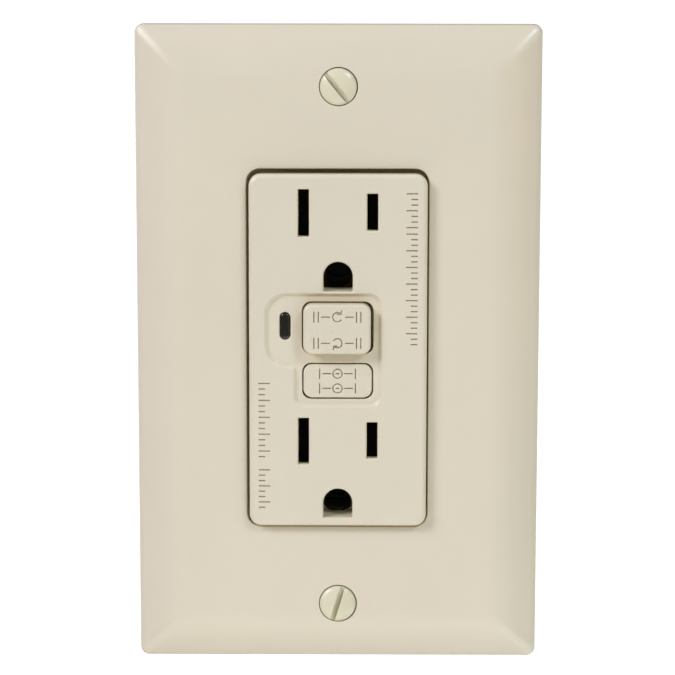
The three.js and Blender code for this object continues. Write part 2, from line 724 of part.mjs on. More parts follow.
// Terminal pockets at one end, open to both sides, and the wire holes that lead in from the back.
function wirePockets(z) {
  const deep = [HOUSING.front - PAST, POCKET.back];
  let pockets = blockPair([POCKET.inner, POCKET.outer], deep, around(z, POCKET.half));
  for (const x of [-WIRE_HOLE.x, WIRE_HOLE.x]) {
    for (const dz of [-WIRE_HOLE.dz, WIRE_HOLE.dz]) {
      const hole = bar("y", WIRE_HOLE.r, POCKET.back - PAST, HOUSING.back + PAST, [x, z + dz], SMALL_ROUND);
      pockets = pockets.add(hole);
    }
  }
  return pockets;
}

function backHousing() {
  const outline = roundedRectangle(0, 0, BODY.halfW, BODY.halfH, BODY.corner);
  let shell = plateOf(outline, HOUSING.front, HOUSING.back).subtract(housingRooms());
  for (const z of [-POCKET.z, POCKET.z]) shell = shell.subtract(wirePockets(z));
  for (const place of bodyCorners()) {
    shell = shell.subtract(bar("y", BOSS.r, HOUSING.front - PAST, HOUSING.back + PAST, place, SMALL_ROUND));
    shell = shell.subtract(bar("y", BOSS.sinkR, BOSS.sinkFloor, HOUSING.back + PAST, place));
  }
  return shell.subtract(blockPair(STRIP_WAY.x, [HOUSING.front - PAST, STRIP_WAY.back], STRIP_WAY.z));
}
addPiece("back_housing", backHousing(), "darkPlastic");

// One of the four screws that hold the body together, driven from the back by a cross slot.
function assemblyScrew() {
  const { tip, tipR, taper, r, neck, headR, seat, rim, top } = BODY_SCREW;
  const shank = [[0, tip], [tipR, tip], [r, tip + taper], [r, neck]];
  const head = [[headR, seat], ...dome(headR, rim, top)];
  const { reach, halfW, floor } = CROSS;
  const deep = [floor, top + PAST];
  const across = block(around(0, reach), deep, around(0, halfW));
  const down = block(around(0, halfW), deep, around(0, reach));
  return turned([...shank, ...head], SMALL_ROUND).subtract(across.add(down));
}
for (const [end, z] of [["upper", BOSS.z], ["lower", -BOSS.z]]) {
  for (const [hand, x] of [["left", -BOSS.x], ["right", BOSS.x]]) {
    addPiece(`assembly_screw_${end}_${hand}`, assemblyScrew(), "steel", [x, 0, z], [0, x * 0.05, 0]);
  }
}

// ---------------------------------------------------------------- current-carrying pieces
// These are made for the hot side (+X) and mirrored for the neutral side.
function mirrored(made) {
  return made.mirror([1, 0, 0]);
}

// The plate that a wire is clamped against, with a clearance hole for its screw.
function terminalPlate(z, front) {
  const { x, thickness, y, halfH, back, holeR } = TERMINAL;
  const plate = block([x, x + thickness], [front, back], around(z, halfH));
  return plate.subtract(bar("x", holeR, x - PAST, x + thickness + PAST, [y, z]));
}

// A U-shaped clip round one blade, with the bridge that ties it to the bus.
function bladeClip(z) {
  const low = z - CLIP.below;
  const high = z + CLIP.above;
  const sides = block(around(BLADE_X, CLIP.halfW), [CLIP.front, CLIP.back], [low, high]);
  const through = [CLIP.front - PAST, CLIP.back + PAST];
  const slot = block(around(BLADE_X, CLIP.gap), through, [low - PAST, high - CLIP.web]);
  const ys = [BUS.front, BUS.front + BUS.thickness];
  const bridge = block([BLADE_X + CLIP.halfW - 2 * JOIN, BUS.x + 2 * JOIN], ys, around(z, CLIP.bridge));
  return sides.subtract(slot).add(bridge);
}

// A bus along the body with a blade clip for each receptacle, a fixed contact and a terminal plate.
function loadBus() {
  const ys = [BUS.front, BUS.front + BUS.thickness];
  const xs = [BUS.x, BUS.x + BUS.width];
  let bus = block(xs, ys, BUS.z);
  for (const z of BLADE_Z) bus = bus.add(bladeClip(z));
  bus = bus.add(block(xs, [BUS.front, CONTACT.back], around(CONTACT.z, CONTACT.halfH)));
  const middle = [BUS.x + BUS.width / 2, CONTACT.z];
  bus = bus.add(bar("y", CONTACT.r, CONTACT.back - JOIN, CONTACT.face, middle));
  bus = bus.add(block([BUS.x, TERMINAL.x + TERMINAL.thickness], ys, BUS.tail));
  return bus.add(terminalPlate(-POCKET.z, BUS.front));
}
addPiece("load_hot_bus", loadBus(), "brass");
addPiece("load_neutral_bus", mirrored(loadBus()), "brass");

// The line terminal, with a strip that dives through the two transformers to the board.
function lineTerminal() {
  const { front, thickness, x, z, end } = STRIP;
  const strip = block([x, TERMINAL.x + TERMINAL.thickness / 2], [front, front + thickness], z);
  const dive = block([x, x + thickness], [front, end], z);
  return terminalPlate(POCKET.z, front).add(strip).add(dive);
}
addPiece("line_hot_terminal", lineTerminal(), "brass");
addPiece("line_neutral_terminal", mirrored(lineTerminal()), "brass");

// Binding screw in the side of the body: a slotted head outside, a thread that draws the clamp plate.
function terminalScrew() {
  const { gap, headR, head, crownR, crown, r, tip, slotDepth, slotHalf } = BINDING;
  const seat = TERMINAL.x + TERMINAL.thickness + gap;
  const rim = seat + head;
  const body = bar("x", headR, seat, rim, [0, 0]).add(bar("x", crownR, rim - JOIN, rim + crown, [0, 0]));
  const shank = bar("x", r, tip, seat + JOIN, [0, 0]);
  const slot = block([rim + crown - slotDepth, rim + PAST], around(0, slotHalf), around(0, headR + PAST));
  return body.add(shank).subtract(slot);
}

function clampPlate() {
  const { x, thickness, halfW, halfH } = CLAMP;
  const plate = block([x, x + thickness], around(0, halfW), around(0, halfH));
  return plate.subtract(bar("x", TERMINAL.holeR, x - PAST, x + thickness + PAST, [0, 0]));
}
for (const [wire, z, turn] of [["line", POCKET.z, 0.5], ["load", -POCKET.z, -0.9]]) {
  const place = [0, TERMINAL.y, z];
  addPiece(`terminal_screw_${wire}_hot`, terminalScrew(), "brass", place, [turn, 0, 0]);
  addPiece(`terminal_screw_${wire}_neutral`, mirrored(terminalScrew()), "steel", place, [-turn, 0, 0]);
  addPiece(`clamp_plate_${wire}_hot`, clampPlate(), "brass", place);
  addPiece(`clamp_plate_${wire}_neutral`, mirrored(clampPlate()), "steel", place);
}

// ---------------------------------------------------------------- circuit board and its parts
function circuitBoard() {
  const { front, back, halfW, halfH, arm, armHalfH, endHalfW, endZ, holeR } = BOARD;
  const ys = [front, back];
  const end = block(around(0, endHalfW), ys, [endZ, halfH]);
  let board = block(around(0, halfW), ys, around(0, halfH));
  board = board.add(block(around(0, arm), ys, around(0, armHalfH)));
  board = board.add(end).add(end.mirror([0, 0, 1]));
  return board.subtract(bar("y", holeR, front - PAST, back + PAST, [RESET.x, RESET.z], SMALL_ROUND));
}
addPiece("circuit_board", circuitBoard(), "board");

// A toroid in a moulded ring, standing over the board with the line strips through its middle.
function toroid(front, back) {
  const { innerR, outerR, edge, sides } = TOROID;
  const profile = [
    [innerR, front + edge],
    [innerR + edge, front],
    [outerR - edge, front],
    [outerR, front + edge],
    [outerR, back - edge],
    [outerR - edge, back],
    [innerR + edge, back],
    [innerR, back - edge],
    [innerR, front + edge],
  ];
  return turned(profile, sides);
}
addPiece("sense_transformer", toroid(14.8, 18.4), "copper", [0, 0, TOROID.z]);
addPiece("neutral_transformer", toroid(18.7, LEAD_END), "blackEpoxy", [0, 0, TOROID.z]);

// A straight square lead along Y.
function lead(x, z, half, from, to) {
  return block(around(x, half), [from, to], around(z, half));
}

// Metal-oxide varistor: a lacquered disc on edge with two leads.
function varistor() {
  const centre = 17.3;
  const discR = 4.1;
  const disc = bar("x", discR, -1.5, 1.5, [centre, 0]);
  const from = centre + discR - 1.1;
  return disc.add(lead(0, -2.5, 0.3, from, LEAD_END)).add(lead(0, 2.5, 0.3, from, LEAD_END));
}
addPiece("varistor", varistor(), "blueLacquer", [-16.2, 0, -6.6]);

// Thyristor in a small moulded case with one flat side.
function thyristor() {
  const [front, back] = [15.6, 20.4];
  const r = 2.4;
  const flat = block(around(0, r + PAST), [front - PAST, back + PAST], [r / 2, r + PAST]);
  let made = bar("y", r, front, back, [0, 0]).subtract(flat);
  for (const x of [-1.3, 0, 1.3]) made = made.add(lead(x, 0, 0.2, back - JOIN, LEAD_END));
  return made;
}
addPiece("thyristor", thyristor(), "blackEpoxy", [16.2, 0, -7]);

function capacitor() {
  const [front, back] = [14.2, 21.8];
  const r = 2.5;
  const edge = 0.4;
  const rim = r - edge;
  const wall = [[r, front + edge], [r, back - edge]];
  const can = turned([[0, front], [rim, front], ...wall, [rim, back], [0, back]]);
  return can.add(lead(-1, 0, 0.2, back - JOIN, LEAD_END)).add(lead(1, 0, 0.2, back - JOIN, LEAD_END));
}
addPiece("capacitor", capacitor(), "blackEpoxy", [10.2, 0, -7]);

// The control chip on the back of the board, with four pairs of legs.
function controlChip() {
  const skin = BOARD.back + GAP;
  let chip = block([-3, 3], [skin + JOIN, skin + 1.7], [-2, 2]);
  for (const x of [-2.2, -0.75, 0.75, 2.2]) {
    chip = chip.add(block(around(x, 0.2), [skin, skin + 0.9], [-3.1, 3.1]));
  }
  return chip;
}
addPiece("control_chip", controlChip(), "blackEpoxy", [0, 0, -12]);

// A resistor lying along Y before it is stood up: two end caps, a thinner middle and a lead.
function testResistor() {
  const half = [[1, 1.6], [1.25, 1.9], [1.25, 2.8], [1.1, 3.2], [0, 3.2]];
  const body = turned([...half.map(([r, y]) => [r, -y]).reverse(), ...half]);
  return body.add(bar("y", 0.3, -4.4, 4.4, [0, 0], 8));
}
addPiece("test_resistor", testResistor(), "fibre", [-10.2, 21, -6.4], [Math.PI / 2, 0, 0]);

// ---------------------------------------------------------------- trip solenoid
const UPRIGHT = [Math.PI / 2, 0, 0]; // turned pieces stand along Z

function solenoidBobbin() {
  const { low, high, flange, flangeR, coreR, boreR } = SOLENOID;
  return turned([
    [boreR, low],
    [flangeR, low],
    [flangeR, low + flange],
    [coreR, low + flange],
    [coreR, high - flange],
    [flangeR, high - flange],
    [flangeR, high],
    [boreR, high],
    [boreR, low],
  ]);
}
addPiece("solenoid_bobbin", solenoidBobbin(), "whiteNylon", [0, MOTOR_Y, 0], UPRIGHT);

function solenoidWinding() {
  const { low, high, flange, coreR, windingR } = SOLENOID;
  const inner = coreR + JOIN;
  const from = low + flange + JOIN;
  const to = high - flange - JOIN;
  return turned([[inner, from], [windingR, from], [windingR, to], [inner, to], [inner, from]]);
}
addPiece("solenoid_winding", solenoidWinding(), "copper", [0, MOTOR_Y, 0], UPRIGHT);

// A U-shaped yoke round the bobbin, open on the left, with the plunger's hole at its top.
function solenoidFrame() {
  const { x, halfW, sheet, gap } = YOKE;
  const low = SOLENOID.low - sheet - gap;
  const high = SOLENOID.high + sheet + gap;
  const shape = polygon([
    [x[0], low],
    [x[1], low],
    [x[1], high],
    [x[0], high],
    [x[0], high - sheet],
    [x[1] - sheet, high - sheet],
    [x[1] - sheet, low + sheet],
    [x[0], low + sheet],
  ]);
  const hole = bar("z", SOLENOID.boreR, high - sheet - PAST, high + PAST, [0, MOTOR_Y]);
  return plateOf(shape, MOTOR_Y - halfW, MOTOR_Y + halfW).subtract(hole);
}
addPiece("solenoid_frame", solenoidFrame(), "steel");

// The plunger: a fat core in the coil, a thin neck for its spring, and a button that meets the latch.
function solenoidPlunger() {
  const { low, shoulder, neck, high, r, neckR, edge } = PLUNGER;
  return turned([
    [0, low],
    [r - edge, low],
    [r, low + edge],
    [r, shoulder],
    [neckR, shoulder + edge],
    [neckR, neck],
    [r, neck + edge / 3],
    [r, high - edge - 0.1],
    [neckR, high - 0.1],
    [0, high],
  ]);
}
addPiece("solenoid_plunger", solenoidPlunger(), "steel", [0, MOTOR_Y, 0], UPRIGHT);

// Compression springs: round wire swept along a helix about an axis through the origin.
class Helix extends THREE.Curve {
  constructor(r, from, to, turns) {
    super();
    this.r = r;
    this.from = from;
    this.to = to;
    this.turns = turns;
  }

  getPoint(t) {
    const a = 2 * Math.PI * this.turns * t;
    const along = this.from + (this.to - this.from) * t;
    return new THREE.Vector3(this.r * Math.cos(a), along, this.r * Math.sin(a));
  }
}

function spring({ r, wire, from, to, turns }) {
  const section = new THREE.Shape();
  section.absarc(0, 0, wire, 0, 2 * Math.PI, false);
  const extrudePath = new Helix(r, from, to, turns);
  return solid(new THREE.ExtrudeGeometry(section, { steps: turns * 8, curveSegments: 3, extrudePath }));
}
addPiece("plunger_spring", spring(PLUNGER_SPRING), "steel", [0, MOTOR_Y, 0], UPRIGHT);

// ---------------------------------------------------------------- latch and contacts
// The shaft behind the reset button, with the collar that the latch catches.
function resetShaft() {
  const { r, front, collarR, collar, cone, tip } = SHAFT;
  return turned([
    [0, front],
    [r, front],
    [r, collar[0] - 0.1],
    [collarR, collar[0]],
    [collarR, collar[1]],
    [r, collar[1] + cone],
    [r, tip - 0.5],
    [r - 0.4, tip],
    [0, tip],
  ]);
}
addPiece("reset_shaft", resetShaft(), "steel", [RESET.x, 0, RESET.z]);
addPiece("reset_spring", spring(RESET_SPRING), "steel", [RESET.x, 0, RESET.z]);

// Sliding latch plate: a keyhole round the shaft, wide where the collar passes, narrow where it holds.
function latchSlide() {
  const { y, thickness, halfW, z, halfH, corner, keyR, slot, travel } = LATCH;
  const through = [y - PAST, y + thickness + PAST];
  const shape = roundedRectangle(RESET.x, z, halfW, halfH, corner);
  const narrow = roundedRectangle(RESET.x, RESET.z + travel / 2, slot, travel / 2 + slot, slot - 0.01);
  const wide = bar("y", keyR, ...through, [RESET.x, RESET.z]);
  return plateOf(shape, y, y + thickness).subtract(plateOf(narrow, ...through)).subtract(wide);
}
addPiece("latch_slide", latchSlide(), "steel");

// Moulded carriage that lifts both contact arms; the latch slides in a slot through it.
function contactCarriage() {
  const { x, y, z, boreR, slotHalf, slot } = CARRIAGE;
  const hub = block(around(0, x), y, z).add(block(around(0, LIFTER.x), LIFTER.y, LIFTER.z));
  const slideWay = block(around(RESET.x, slotHalf), slot, [z[0] - PAST, z[1] + PAST]);
  return hub.subtract(slideWay).subtract(bar("y", boreR, y[0] - PAST, y[1] + PAST, [RESET.x, RESET.z]));
}
addPiece("contact_carriage", contactCarriage(), "whiteNylon");

// Spring arm with a button contact that meets the load bus's fixed contact.
function contactArm() {
  const blade = block(around(ARM.x, ARM.halfW), [ARM.front, ARM.front + ARM.thickness], ARM.z);
  return blade.add(bar("y", CONTACT.r, ARM.front - ARM.button, ARM.front + JOIN, [ARM.x, CONTACT.z]));
}

// The bracket that carries a spring arm's root and runs back to the board.
function contactPost() {
  const { front, thickness, z } = ARM_POST;
  const xs = around(ARM.x, ARM.halfW);
  const foot = block(xs, [front, front + thickness], z);
  return foot.add(block(xs, [front, LEAD_END], [z[1] - thickness, z[1]]));
}
addPiece("hot_contact_arm", contactArm(), "copper");
addPiece("neutral_contact_arm", mirrored(contactArm()), "copper");
addPiece("hot_contact_post", contactPost(), "brass");
addPiece("neutral_contact_post", mirrored(contactPost()), "brass");

// Spring leaf under the test button's foot, held in the separator's slotted post.
addPiece("test_leaf", block(LEAF.x, LEAF.y, LEAF.z), "brass");

export default outlet;
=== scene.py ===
"""A duplex GFCI outlet with its wall plate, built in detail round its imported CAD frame.

Lengths are in millimetres up to the moment a mesh is made, and in metres from there on. +X is right and
+Z is up as the outlet is read, and the face looks along -Y. "Front" is the lower y and "back" the higher one.
"""

import json
import math

import bmesh
import bpy
from mathutils import Matrix, Vector


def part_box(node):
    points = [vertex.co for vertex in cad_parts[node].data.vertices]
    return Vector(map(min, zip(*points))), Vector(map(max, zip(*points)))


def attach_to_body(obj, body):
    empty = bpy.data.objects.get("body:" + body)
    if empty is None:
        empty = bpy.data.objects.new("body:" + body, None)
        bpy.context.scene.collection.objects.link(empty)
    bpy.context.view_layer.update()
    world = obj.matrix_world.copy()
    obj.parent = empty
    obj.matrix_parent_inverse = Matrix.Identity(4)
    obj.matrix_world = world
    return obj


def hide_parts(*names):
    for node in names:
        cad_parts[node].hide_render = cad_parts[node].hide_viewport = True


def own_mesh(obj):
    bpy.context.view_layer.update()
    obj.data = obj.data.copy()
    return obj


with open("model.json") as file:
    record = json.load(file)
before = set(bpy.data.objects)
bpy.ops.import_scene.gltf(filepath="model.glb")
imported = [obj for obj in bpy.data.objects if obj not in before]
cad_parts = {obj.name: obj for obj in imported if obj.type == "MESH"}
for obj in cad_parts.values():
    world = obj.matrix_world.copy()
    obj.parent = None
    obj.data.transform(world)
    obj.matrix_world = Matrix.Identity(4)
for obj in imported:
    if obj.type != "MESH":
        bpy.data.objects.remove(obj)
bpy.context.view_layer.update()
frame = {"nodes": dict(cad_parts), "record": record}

MM = 0.001
RECORD = frame["record"]
BODY_OF = {node: body for body, nodes in RECORD["behaviour"]["bodies"].items() for node in nodes}
PAST = 1.0  # how far a cutter runs past the material it cuts


def extent(node):
    """A CAD node's lowest and highest corners at rest, in millimetres."""
    low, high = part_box(node)
    return low / MM, high / MM


def centre(node):
    """The middle of a CAD node's box, in millimetres."""
    low, high = extent(node)
    return (low + high) / 2


# ---------------------------------------------------------------- camera, floor and light
CAMERA_AT = (2.97, -524.1, 91.7)
CAMERA_PITCH = -9.80  # degrees, looking slightly down
CAMERA_YAW = 0.35
CAMERA_ROLL = -0.066
CAMERA_LENS = 152.04
FLOOR_Z = -350


def add_camera():
    """The camera, at the photograph's viewing angle."""
    data = bpy.data.cameras.new("camera")
    data.lens = CAMERA_LENS
    data.sensor_width = 36
    data.clip_end = 100
    camera = bpy.data.objects.new("camera", data)
    turn = Matrix.Rotation(math.radians(CAMERA_YAW), 4, "Z")
    turn @= Matrix.Rotation(math.radians(CAMERA_ROLL), 4, "Y")
    turn @= Matrix.Rotation(math.radians(CAMERA_PITCH + 90), 4, "X")
    camera.matrix_world = Matrix.Translation(Vector(CAMERA_AT) * MM) @ turn
    bpy.context.scene.collection.objects.link(camera)
    bpy.context.scene.camera = camera


def add_light(name, at, size, watts, tint):
    """A square soft box that looks at the middle of the outlet."""
    data = bpy.data.lights.new(name, "AREA")
    data.size = size * MM
    data.energy = watts
    data.color = tint
    light = bpy.data.objects.new(name, data)
    at = Vector(at) * MM
    light.matrix_world = Matrix.Translation(at) @ (-at).to_track_quat("-Z", "Y").to_matrix().to_4x4()
    bpy.context.scene.collection.objects.link(light)


def white_where_seen(tree, strength, socket):
    """The camera sees a backdrop at full white, while what it lights keeps to the given strength or link."""
    path = tree.nodes.new("ShaderNodeLightPath")
    brighter = tree.nodes.new("ShaderNodeMath")
    brighter.operation = "MAXIMUM"
    if isinstance(strength, float):
        brighter.inputs[0].default_value = strength
    else:
        tree.links.new(strength, brighter.inputs[0])
    tree.links.new(path.outputs["Is Camera Ray"], brighter.inputs[1])
    tree.links.new(brighter.outputs["Value"], socket)


def add_floor():
    """A pale floor that glows softly well behind the outlet, as a lit backdrop does."""
    bpy.ops.mesh.primitive_plane_add(size=60, location=(0, 0, FLOOR_Z * MM))
    floor = bpy.context.object
    floor.name = "floor"
    paint = new_finish("floor", (0.93, 0.93, 0.92), 0.9)
    nodes, links = paint.node_tree.nodes, paint.node_tree.links
    place = nodes.new("ShaderNodeTexCoord")
    axes = nodes.new("ShaderNodeSeparateXYZ")
    glow = nodes.new("ShaderNodeMapRange")
    for socket, value in (("From Min", 0.1), ("From Max", 0.8), ("To Min", 0), ("To Max", 1.05)):
        glow.inputs[socket].default_value = value
    shader = nodes["Principled BSDF"]
    shader.inputs["Emission Color"].default_value = (1, 1, 1, 1)
    links.new(place.outputs["Object"], axes.inputs["Vector"])
    links.new(axes.outputs["Y"], glow.inputs["Value"])
    white_where_seen(paint.node_tree, glow.outputs["Result"], shader.inputs["Emission Strength"])
    floor.data.materials.append(paint)


# name: (place, size, watts, tint), in millimetres from the middle of the outlet
LIGHTS = {
    "key": ((-680, -510, 540), 340, 6.65, (1.03, 1.0, 1.07)),
    "overhead": ((0, -200, 800), 500, 0.62, (1.24, 1.0, 0.76)),
    "right": ((700, -500, 60), 400, 0.76, (1.7, 1.0, 0.6)),
    "upper right": ((460, -520, 560), 180, 2.6, (0.8, 1.0, 1.1)),
    "below": ((0, -130, -330), 400, 0.58, (1.1, 1.0, 0.86)),
    "below right": ((260, -170, -320), 300, 0.46, (0.6, 1.0, 1.1)),
}


FILL = 0.1  # even light from all round


def add_studio():
    """The soft boxes, and a weak even fill from the world."""
    world = bpy.data.worlds.new("studio")
    world.use_nodes = True
    background = world.node_tree.nodes["Background"]
    background.inputs["Color"].default_value = (1, 1, 1, 1)
    white_where_seen(world.node_tree, FILL, background.inputs["Strength"])
    bpy.context.scene.world = world
    bpy.context.scene.view_settings.view_transform = "Standard"
    for name, light in LIGHTS.items():
        add_light(name, *light)


# ---------------------------------------------------------------- outlines, drawn anticlockwise in x and z
def sweep(start, stop, steps=9):
    """Evenly spaced angles in radians, from a start to a stop in degrees."""
    return [math.radians(start + (stop - start) * i / steps) for i in range(steps + 1)]


def arc(x, z, r, start, stop, steps=8):
    """Points on an arc between two angles in degrees."""
    return [(x + r * math.cos(a), z + r * math.sin(a)) for a in sweep(start, stop, steps)]


def rounded(x, z, half_w, half_h, r, steps=8):
    """A rectangle with rounded corners."""
    u, v = half_w - r, half_h - r
    corners = [(u, -v, -90), (u, v, 0), (-u, v, 90), (-u, -v, 180)]
    return [p for cx, cz, a in corners for p in arc(x + cx, z + cz, r, a, a + 90, steps)]


def circle(x, z, r, sides=32):
    """A regular polygon that stands for a circle."""
    return arc(x, z, r, 0, 360 - 360 / sides, sides - 1)


def softened(points, r, steps=4):
    """A polygon with each corner replaced by an arc of radius r."""
    made = []
    for i, here in enumerate(points):
        p = Vector(here)
        a = (Vector(points[i - 1]) - p).normalized()
        b = (Vector(points[(i + 1) % len(points)]) - p).normalized()
        half = a.angle(b) / 2
        if math.pi / 2 - half < math.radians(3):
            made.append(here)
            continue
        reach = r / math.tan(half)
        middle = p + (a + b).normalized() * (r / math.sin(half))
        first, last = p + a * reach - middle, p + b * reach - middle
        sweep = first.angle_signed(last)
        for k in range(steps + 1):
            spoke = first.copy()
            spoke.rotate(Matrix.Rotation(-sweep * k / steps, 2))
            made.append(tuple(middle + spoke))
    return made


def grown(points, offset):
    """The outline moved outwards by an offset, corner for corner."""
    if offset == 0:
        return list(points)
    made = []
    for i, here in enumerate(points):
        p = Vector(here)
        a = (p - Vector(points[i - 1])).normalized()
        b = (Vector(points[(i + 1) % len(points)]) - p).normalized()
        normal = Vector((a.y + b.y, -a.x - b.x)).normalized()
        lean = max(normal.dot(Vector((b.y, -b.x))), 0.3)
        made.append(tuple(p + normal * (offset / lean)))
    return made


# ---------------------------------------------------------------- edge profiles: (offset, y) pairs
def front_edge(front, r, steps=6):
    """A rounded edge from the front face, out and back to the side wall."""
    return [(-r + r * math.sin(a), front + r - r * math.cos(a)) for a in sweep(0, 90, steps)]


def back_edge(back, r, steps=6):
    """The same edge for a back face, from the side wall in."""
    return [(o, 2 * back - y) for o, y in reversed(front_edge(back, r, steps))]


def flare(front, r, steps=5):
    """A cutter's end that rounds a hole's rim: straight wall first, then out past the front face."""
    curve = [(r - r * math.cos(a), front + r - r * math.sin(a)) for a in sweep(0, 78, steps)]
    (o0, y0), (o1, y1) = curve[-2:]
    run = (y1 - front + 0.2 * r) / (y0 - y1)
    return [*curve, (o1 + (o1 - o0) * run, front - 0.2 * r), (o1 + (o1 - o0) * run, front - PAST)]


# ---------------------------------------------------------------- solids: (vertices, faces) in millimetres
def loft(rings, closed=False):
    """A skin over rings with the same number of points, with flat ends unless it closes on itself."""
    n = len(rings[0])
    count = len(rings)
    verts = [p for ring in rings for p in ring]
    faces = []
    for j in range(count if closed else count - 1):
        k = (j + 1) % count
        for i in range(n):
            faces.append((j * n + i, j * n + (i + 1) % n, k * n + (i + 1) % n, k * n + i))
    if not closed:
        faces.append(tuple(reversed(range(n))))
        faces.append(tuple((count - 1) * n + i for i in range(n)))
    return verts, faces


def slab(points, sections, closed=False):
    """An outline carried along Y through (offset, y) sections."""
    return loft([[(x, y, z) for x, z in grown(points, o)] for o, y in sections], closed)


def turned(profile, sides=48, closed=False):
    """A piece turned round the Y axis from (radius, y) pairs, with flat ends where it doesn't close."""
    rings = [[(r * x, y, r * z) for x, z in circle(0, 0, 1, sides)] for r, y in profile]
    return loft(rings, closed)


def block(xs, ys, zs):
    """A box between pairs of limits."""
    points = [(xs[0], zs[0]), (xs[1], zs[0]), (xs[1], zs[1]), (xs[0], zs[1])]
    return slab(points, [(0, ys[0]), (0, ys[1])])


def moved(part, at=(0, 0, 0), turn=None):
    """A solid turned by a matrix and then moved."""
    verts, faces = part
    turn = turn or Matrix.Identity(3)
    at = Vector(at)
    return [tuple(turn @ Vector(v) + at) for v in verts], faces


def joined(*parts):
    """Several solids as one list of vertices and faces."""
    verts, faces = [], []
    for part_verts, part_faces in parts:
        base = len(verts)
        verts += part_verts
        faces += [tuple(base + i for i in face) for face in part_faces]
    return verts, faces


def tube(path, r, sides=10):
    """Round wire along a list of points, with closed ends."""
    points = [Vector(p) for p in path]
    rings = []
    normal = None
    for i, p in enumerate(points):
        along = (points[min(i + 1, len(points) - 1)] - points[max(i - 1, 0)]).normalized()
        if normal is None:
            normal = along.orthogonal().normalized()
        normal = (normal - along * normal.dot(along)).normalized()
        side = along.cross(normal)
        angles = [2 * math.pi * k / sides for k in range(sides)]
        rings.append([tuple(p + (normal * math.cos(a) + side * math.sin(a)) * r) for a in angles])
    return loft(rings)


ALONG_X = Matrix.Rotation(math.radians(-90), 3, "Z")  # lays a turned piece's +Y along +X
ALONG_Z = Matrix.Rotation(math.radians(90), 3, "X")  # stands a turned piece's +Y up along +Z


# ---------------------------------------------------------------- meshes from solids
def mesh_object(name, part):
    """A mesh object in metres from a solid in millimetres."""
    verts, faces = part
    mesh = bpy.data.meshes.new(name)
    mesh.from_pydata([Vector(v) * MM for v in verts], [], faces)
    piece = bpy.data.objects.new(name, mesh)
    bpy.context.scene.collection.objects.link(piece)
    outward(piece)
    return piece


def outward(piece):
    """Turns every face outwards."""
    made = bmesh.new()
    made.from_mesh(piece.data)
    bmesh.ops.recalc_face_normals(made, faces=made.faces)
    made.to_mesh(piece.data)
    made.free()


def bake_modifiers(piece):
    """Applies what the modifiers do and takes them off."""
    seen = piece.evaluated_get(bpy.context.evaluated_depsgraph_get())
    mesh = bpy.data.meshes.new_from_object(seen)
    piece.modifiers.clear()
    old, piece.data = piece.data, mesh
    bpy.data.meshes.remove(old)


def combine(piece, part, operation="DIFFERENCE", crossing=False):
    """Cuts a solid out of a piece, or adds it. Set crossing if the solid's own lumps cross one another."""
    tool = mesh_object("tool", part)
    step = piece.modifiers.new("step", "BOOLEAN")
    step.operation = operation
    step.solver = "EXACT"
    step.use_self = crossing
    step.object = tool
    bake_modifiers(piece)
    tool_mesh = tool.data
    bpy.data.objects.remove(tool)
    bpy.data.meshes.remove(tool_mesh)


def shade(piece, angle=38):
    """Smooth shading with flat faces kept flat and real edges kept crisp."""
    piece.data.shade_smooth()
    piece.data.set_sharp_from_angle(angle=math.radians(angle))
    weighted = piece.modifiers.new("weighted", "WEIGHTED_NORMAL")
    weighted.keep_sharp = True
    weighted.mode = "FACE_AREA_WITH_ANGLE"


def stands_for(piece, finish, *nodes):
    """The piece takes a CAD node's place and body, and gets its finish."""
    piece.data.materials.clear()
    piece.data.materials.append(finish)
    shade(piece)
    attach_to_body(piece, BODY_OF[nodes[0]])
    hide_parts(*nodes)


def attach(piece, finish, node):
    """A detail that belongs to a node's piece without taking its place."""
    piece.data.materials.append(finish)
    shade(piece)
    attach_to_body(piece, BODY_OF[node])


# ---------------------------------------------------------------- finishes
def new_finish(name, colour, roughness, metallic=0.0, **sockets):
    """A material whose constant values sit on its shader."""
    material = bpy.data.materials.new(name)
    material.use_nodes = True
    shader = material.node_tree.nodes["Principled BSDF"]
    shader.inputs["Base Color"].default_value = (*colour, 1)
    shader.inputs["Roughness"].default_value = roughness
    shader.inputs["Metallic"].default_value = metallic
    for socket, value in sockets.items():
        shader.inputs[socket.replace("_", " ")].default_value = value
    return material


def add_noise(material, scale, detail=3.0, stretch=(1, 1, 1)):
    """A noise texture in the object's own space, in features per metre."""
    nodes, links = material.node_tree.nodes, material.node_tree.links
    place = nodes.new("ShaderNodeTexCoord")
    mapping = nodes.new("ShaderNodeMapping")
    mapping.inputs["Scale"].default_value = stretch
    noise = nodes.new("ShaderNodeTexNoise")
    noise.inputs["Scale"].default_value = scale
    noise.inputs["Detail"].default_value = detail
    links.new(place.outputs["Object"], mapping.inputs["Vector"])
    links.new(mapping.outputs["Vector"], noise.inputs["Vector"])
    return noise.outputs["Fac"]


def vary_colour(material, fac, low, high, between=(0.3, 0.7)):
    """The base colour runs from low to high with a texture."""
    nodes, links = material.node_tree.nodes, material.node_tree.links
    ramp = nodes.new("ShaderNodeValToRGB")
    for element, place, colour in zip(ramp.color_ramp.elements, between, (low, high)):
        element.position = place
        element.color = (*colour, 1)
    links.new(fac, ramp.inputs["Fac"])
    links.new(ramp.outputs["Color"], nodes["Principled BSDF"].inputs["Base Color"])
    return ramp.outputs["Color"]


def vary_roughness(material, fac, low, high):
    """Lets a noise drive the roughness between two values."""
    nodes, links = material.node_tree.nodes, material.node_tree.links
    ranged = nodes.new("ShaderNodeMapRange")
    ranged.inputs["From Min"].default_value = 0.3
    ranged.inputs["From Max"].default_value = 0.7
    ranged.inputs["To Min"].default_value = low
    ranged.inputs["To Max"].default_value = high
    links.new(fac, ranged.inputs["Value"])
    links.new(ranged.outputs["Result"], nodes["Principled BSDF"].inputs["Roughness"])


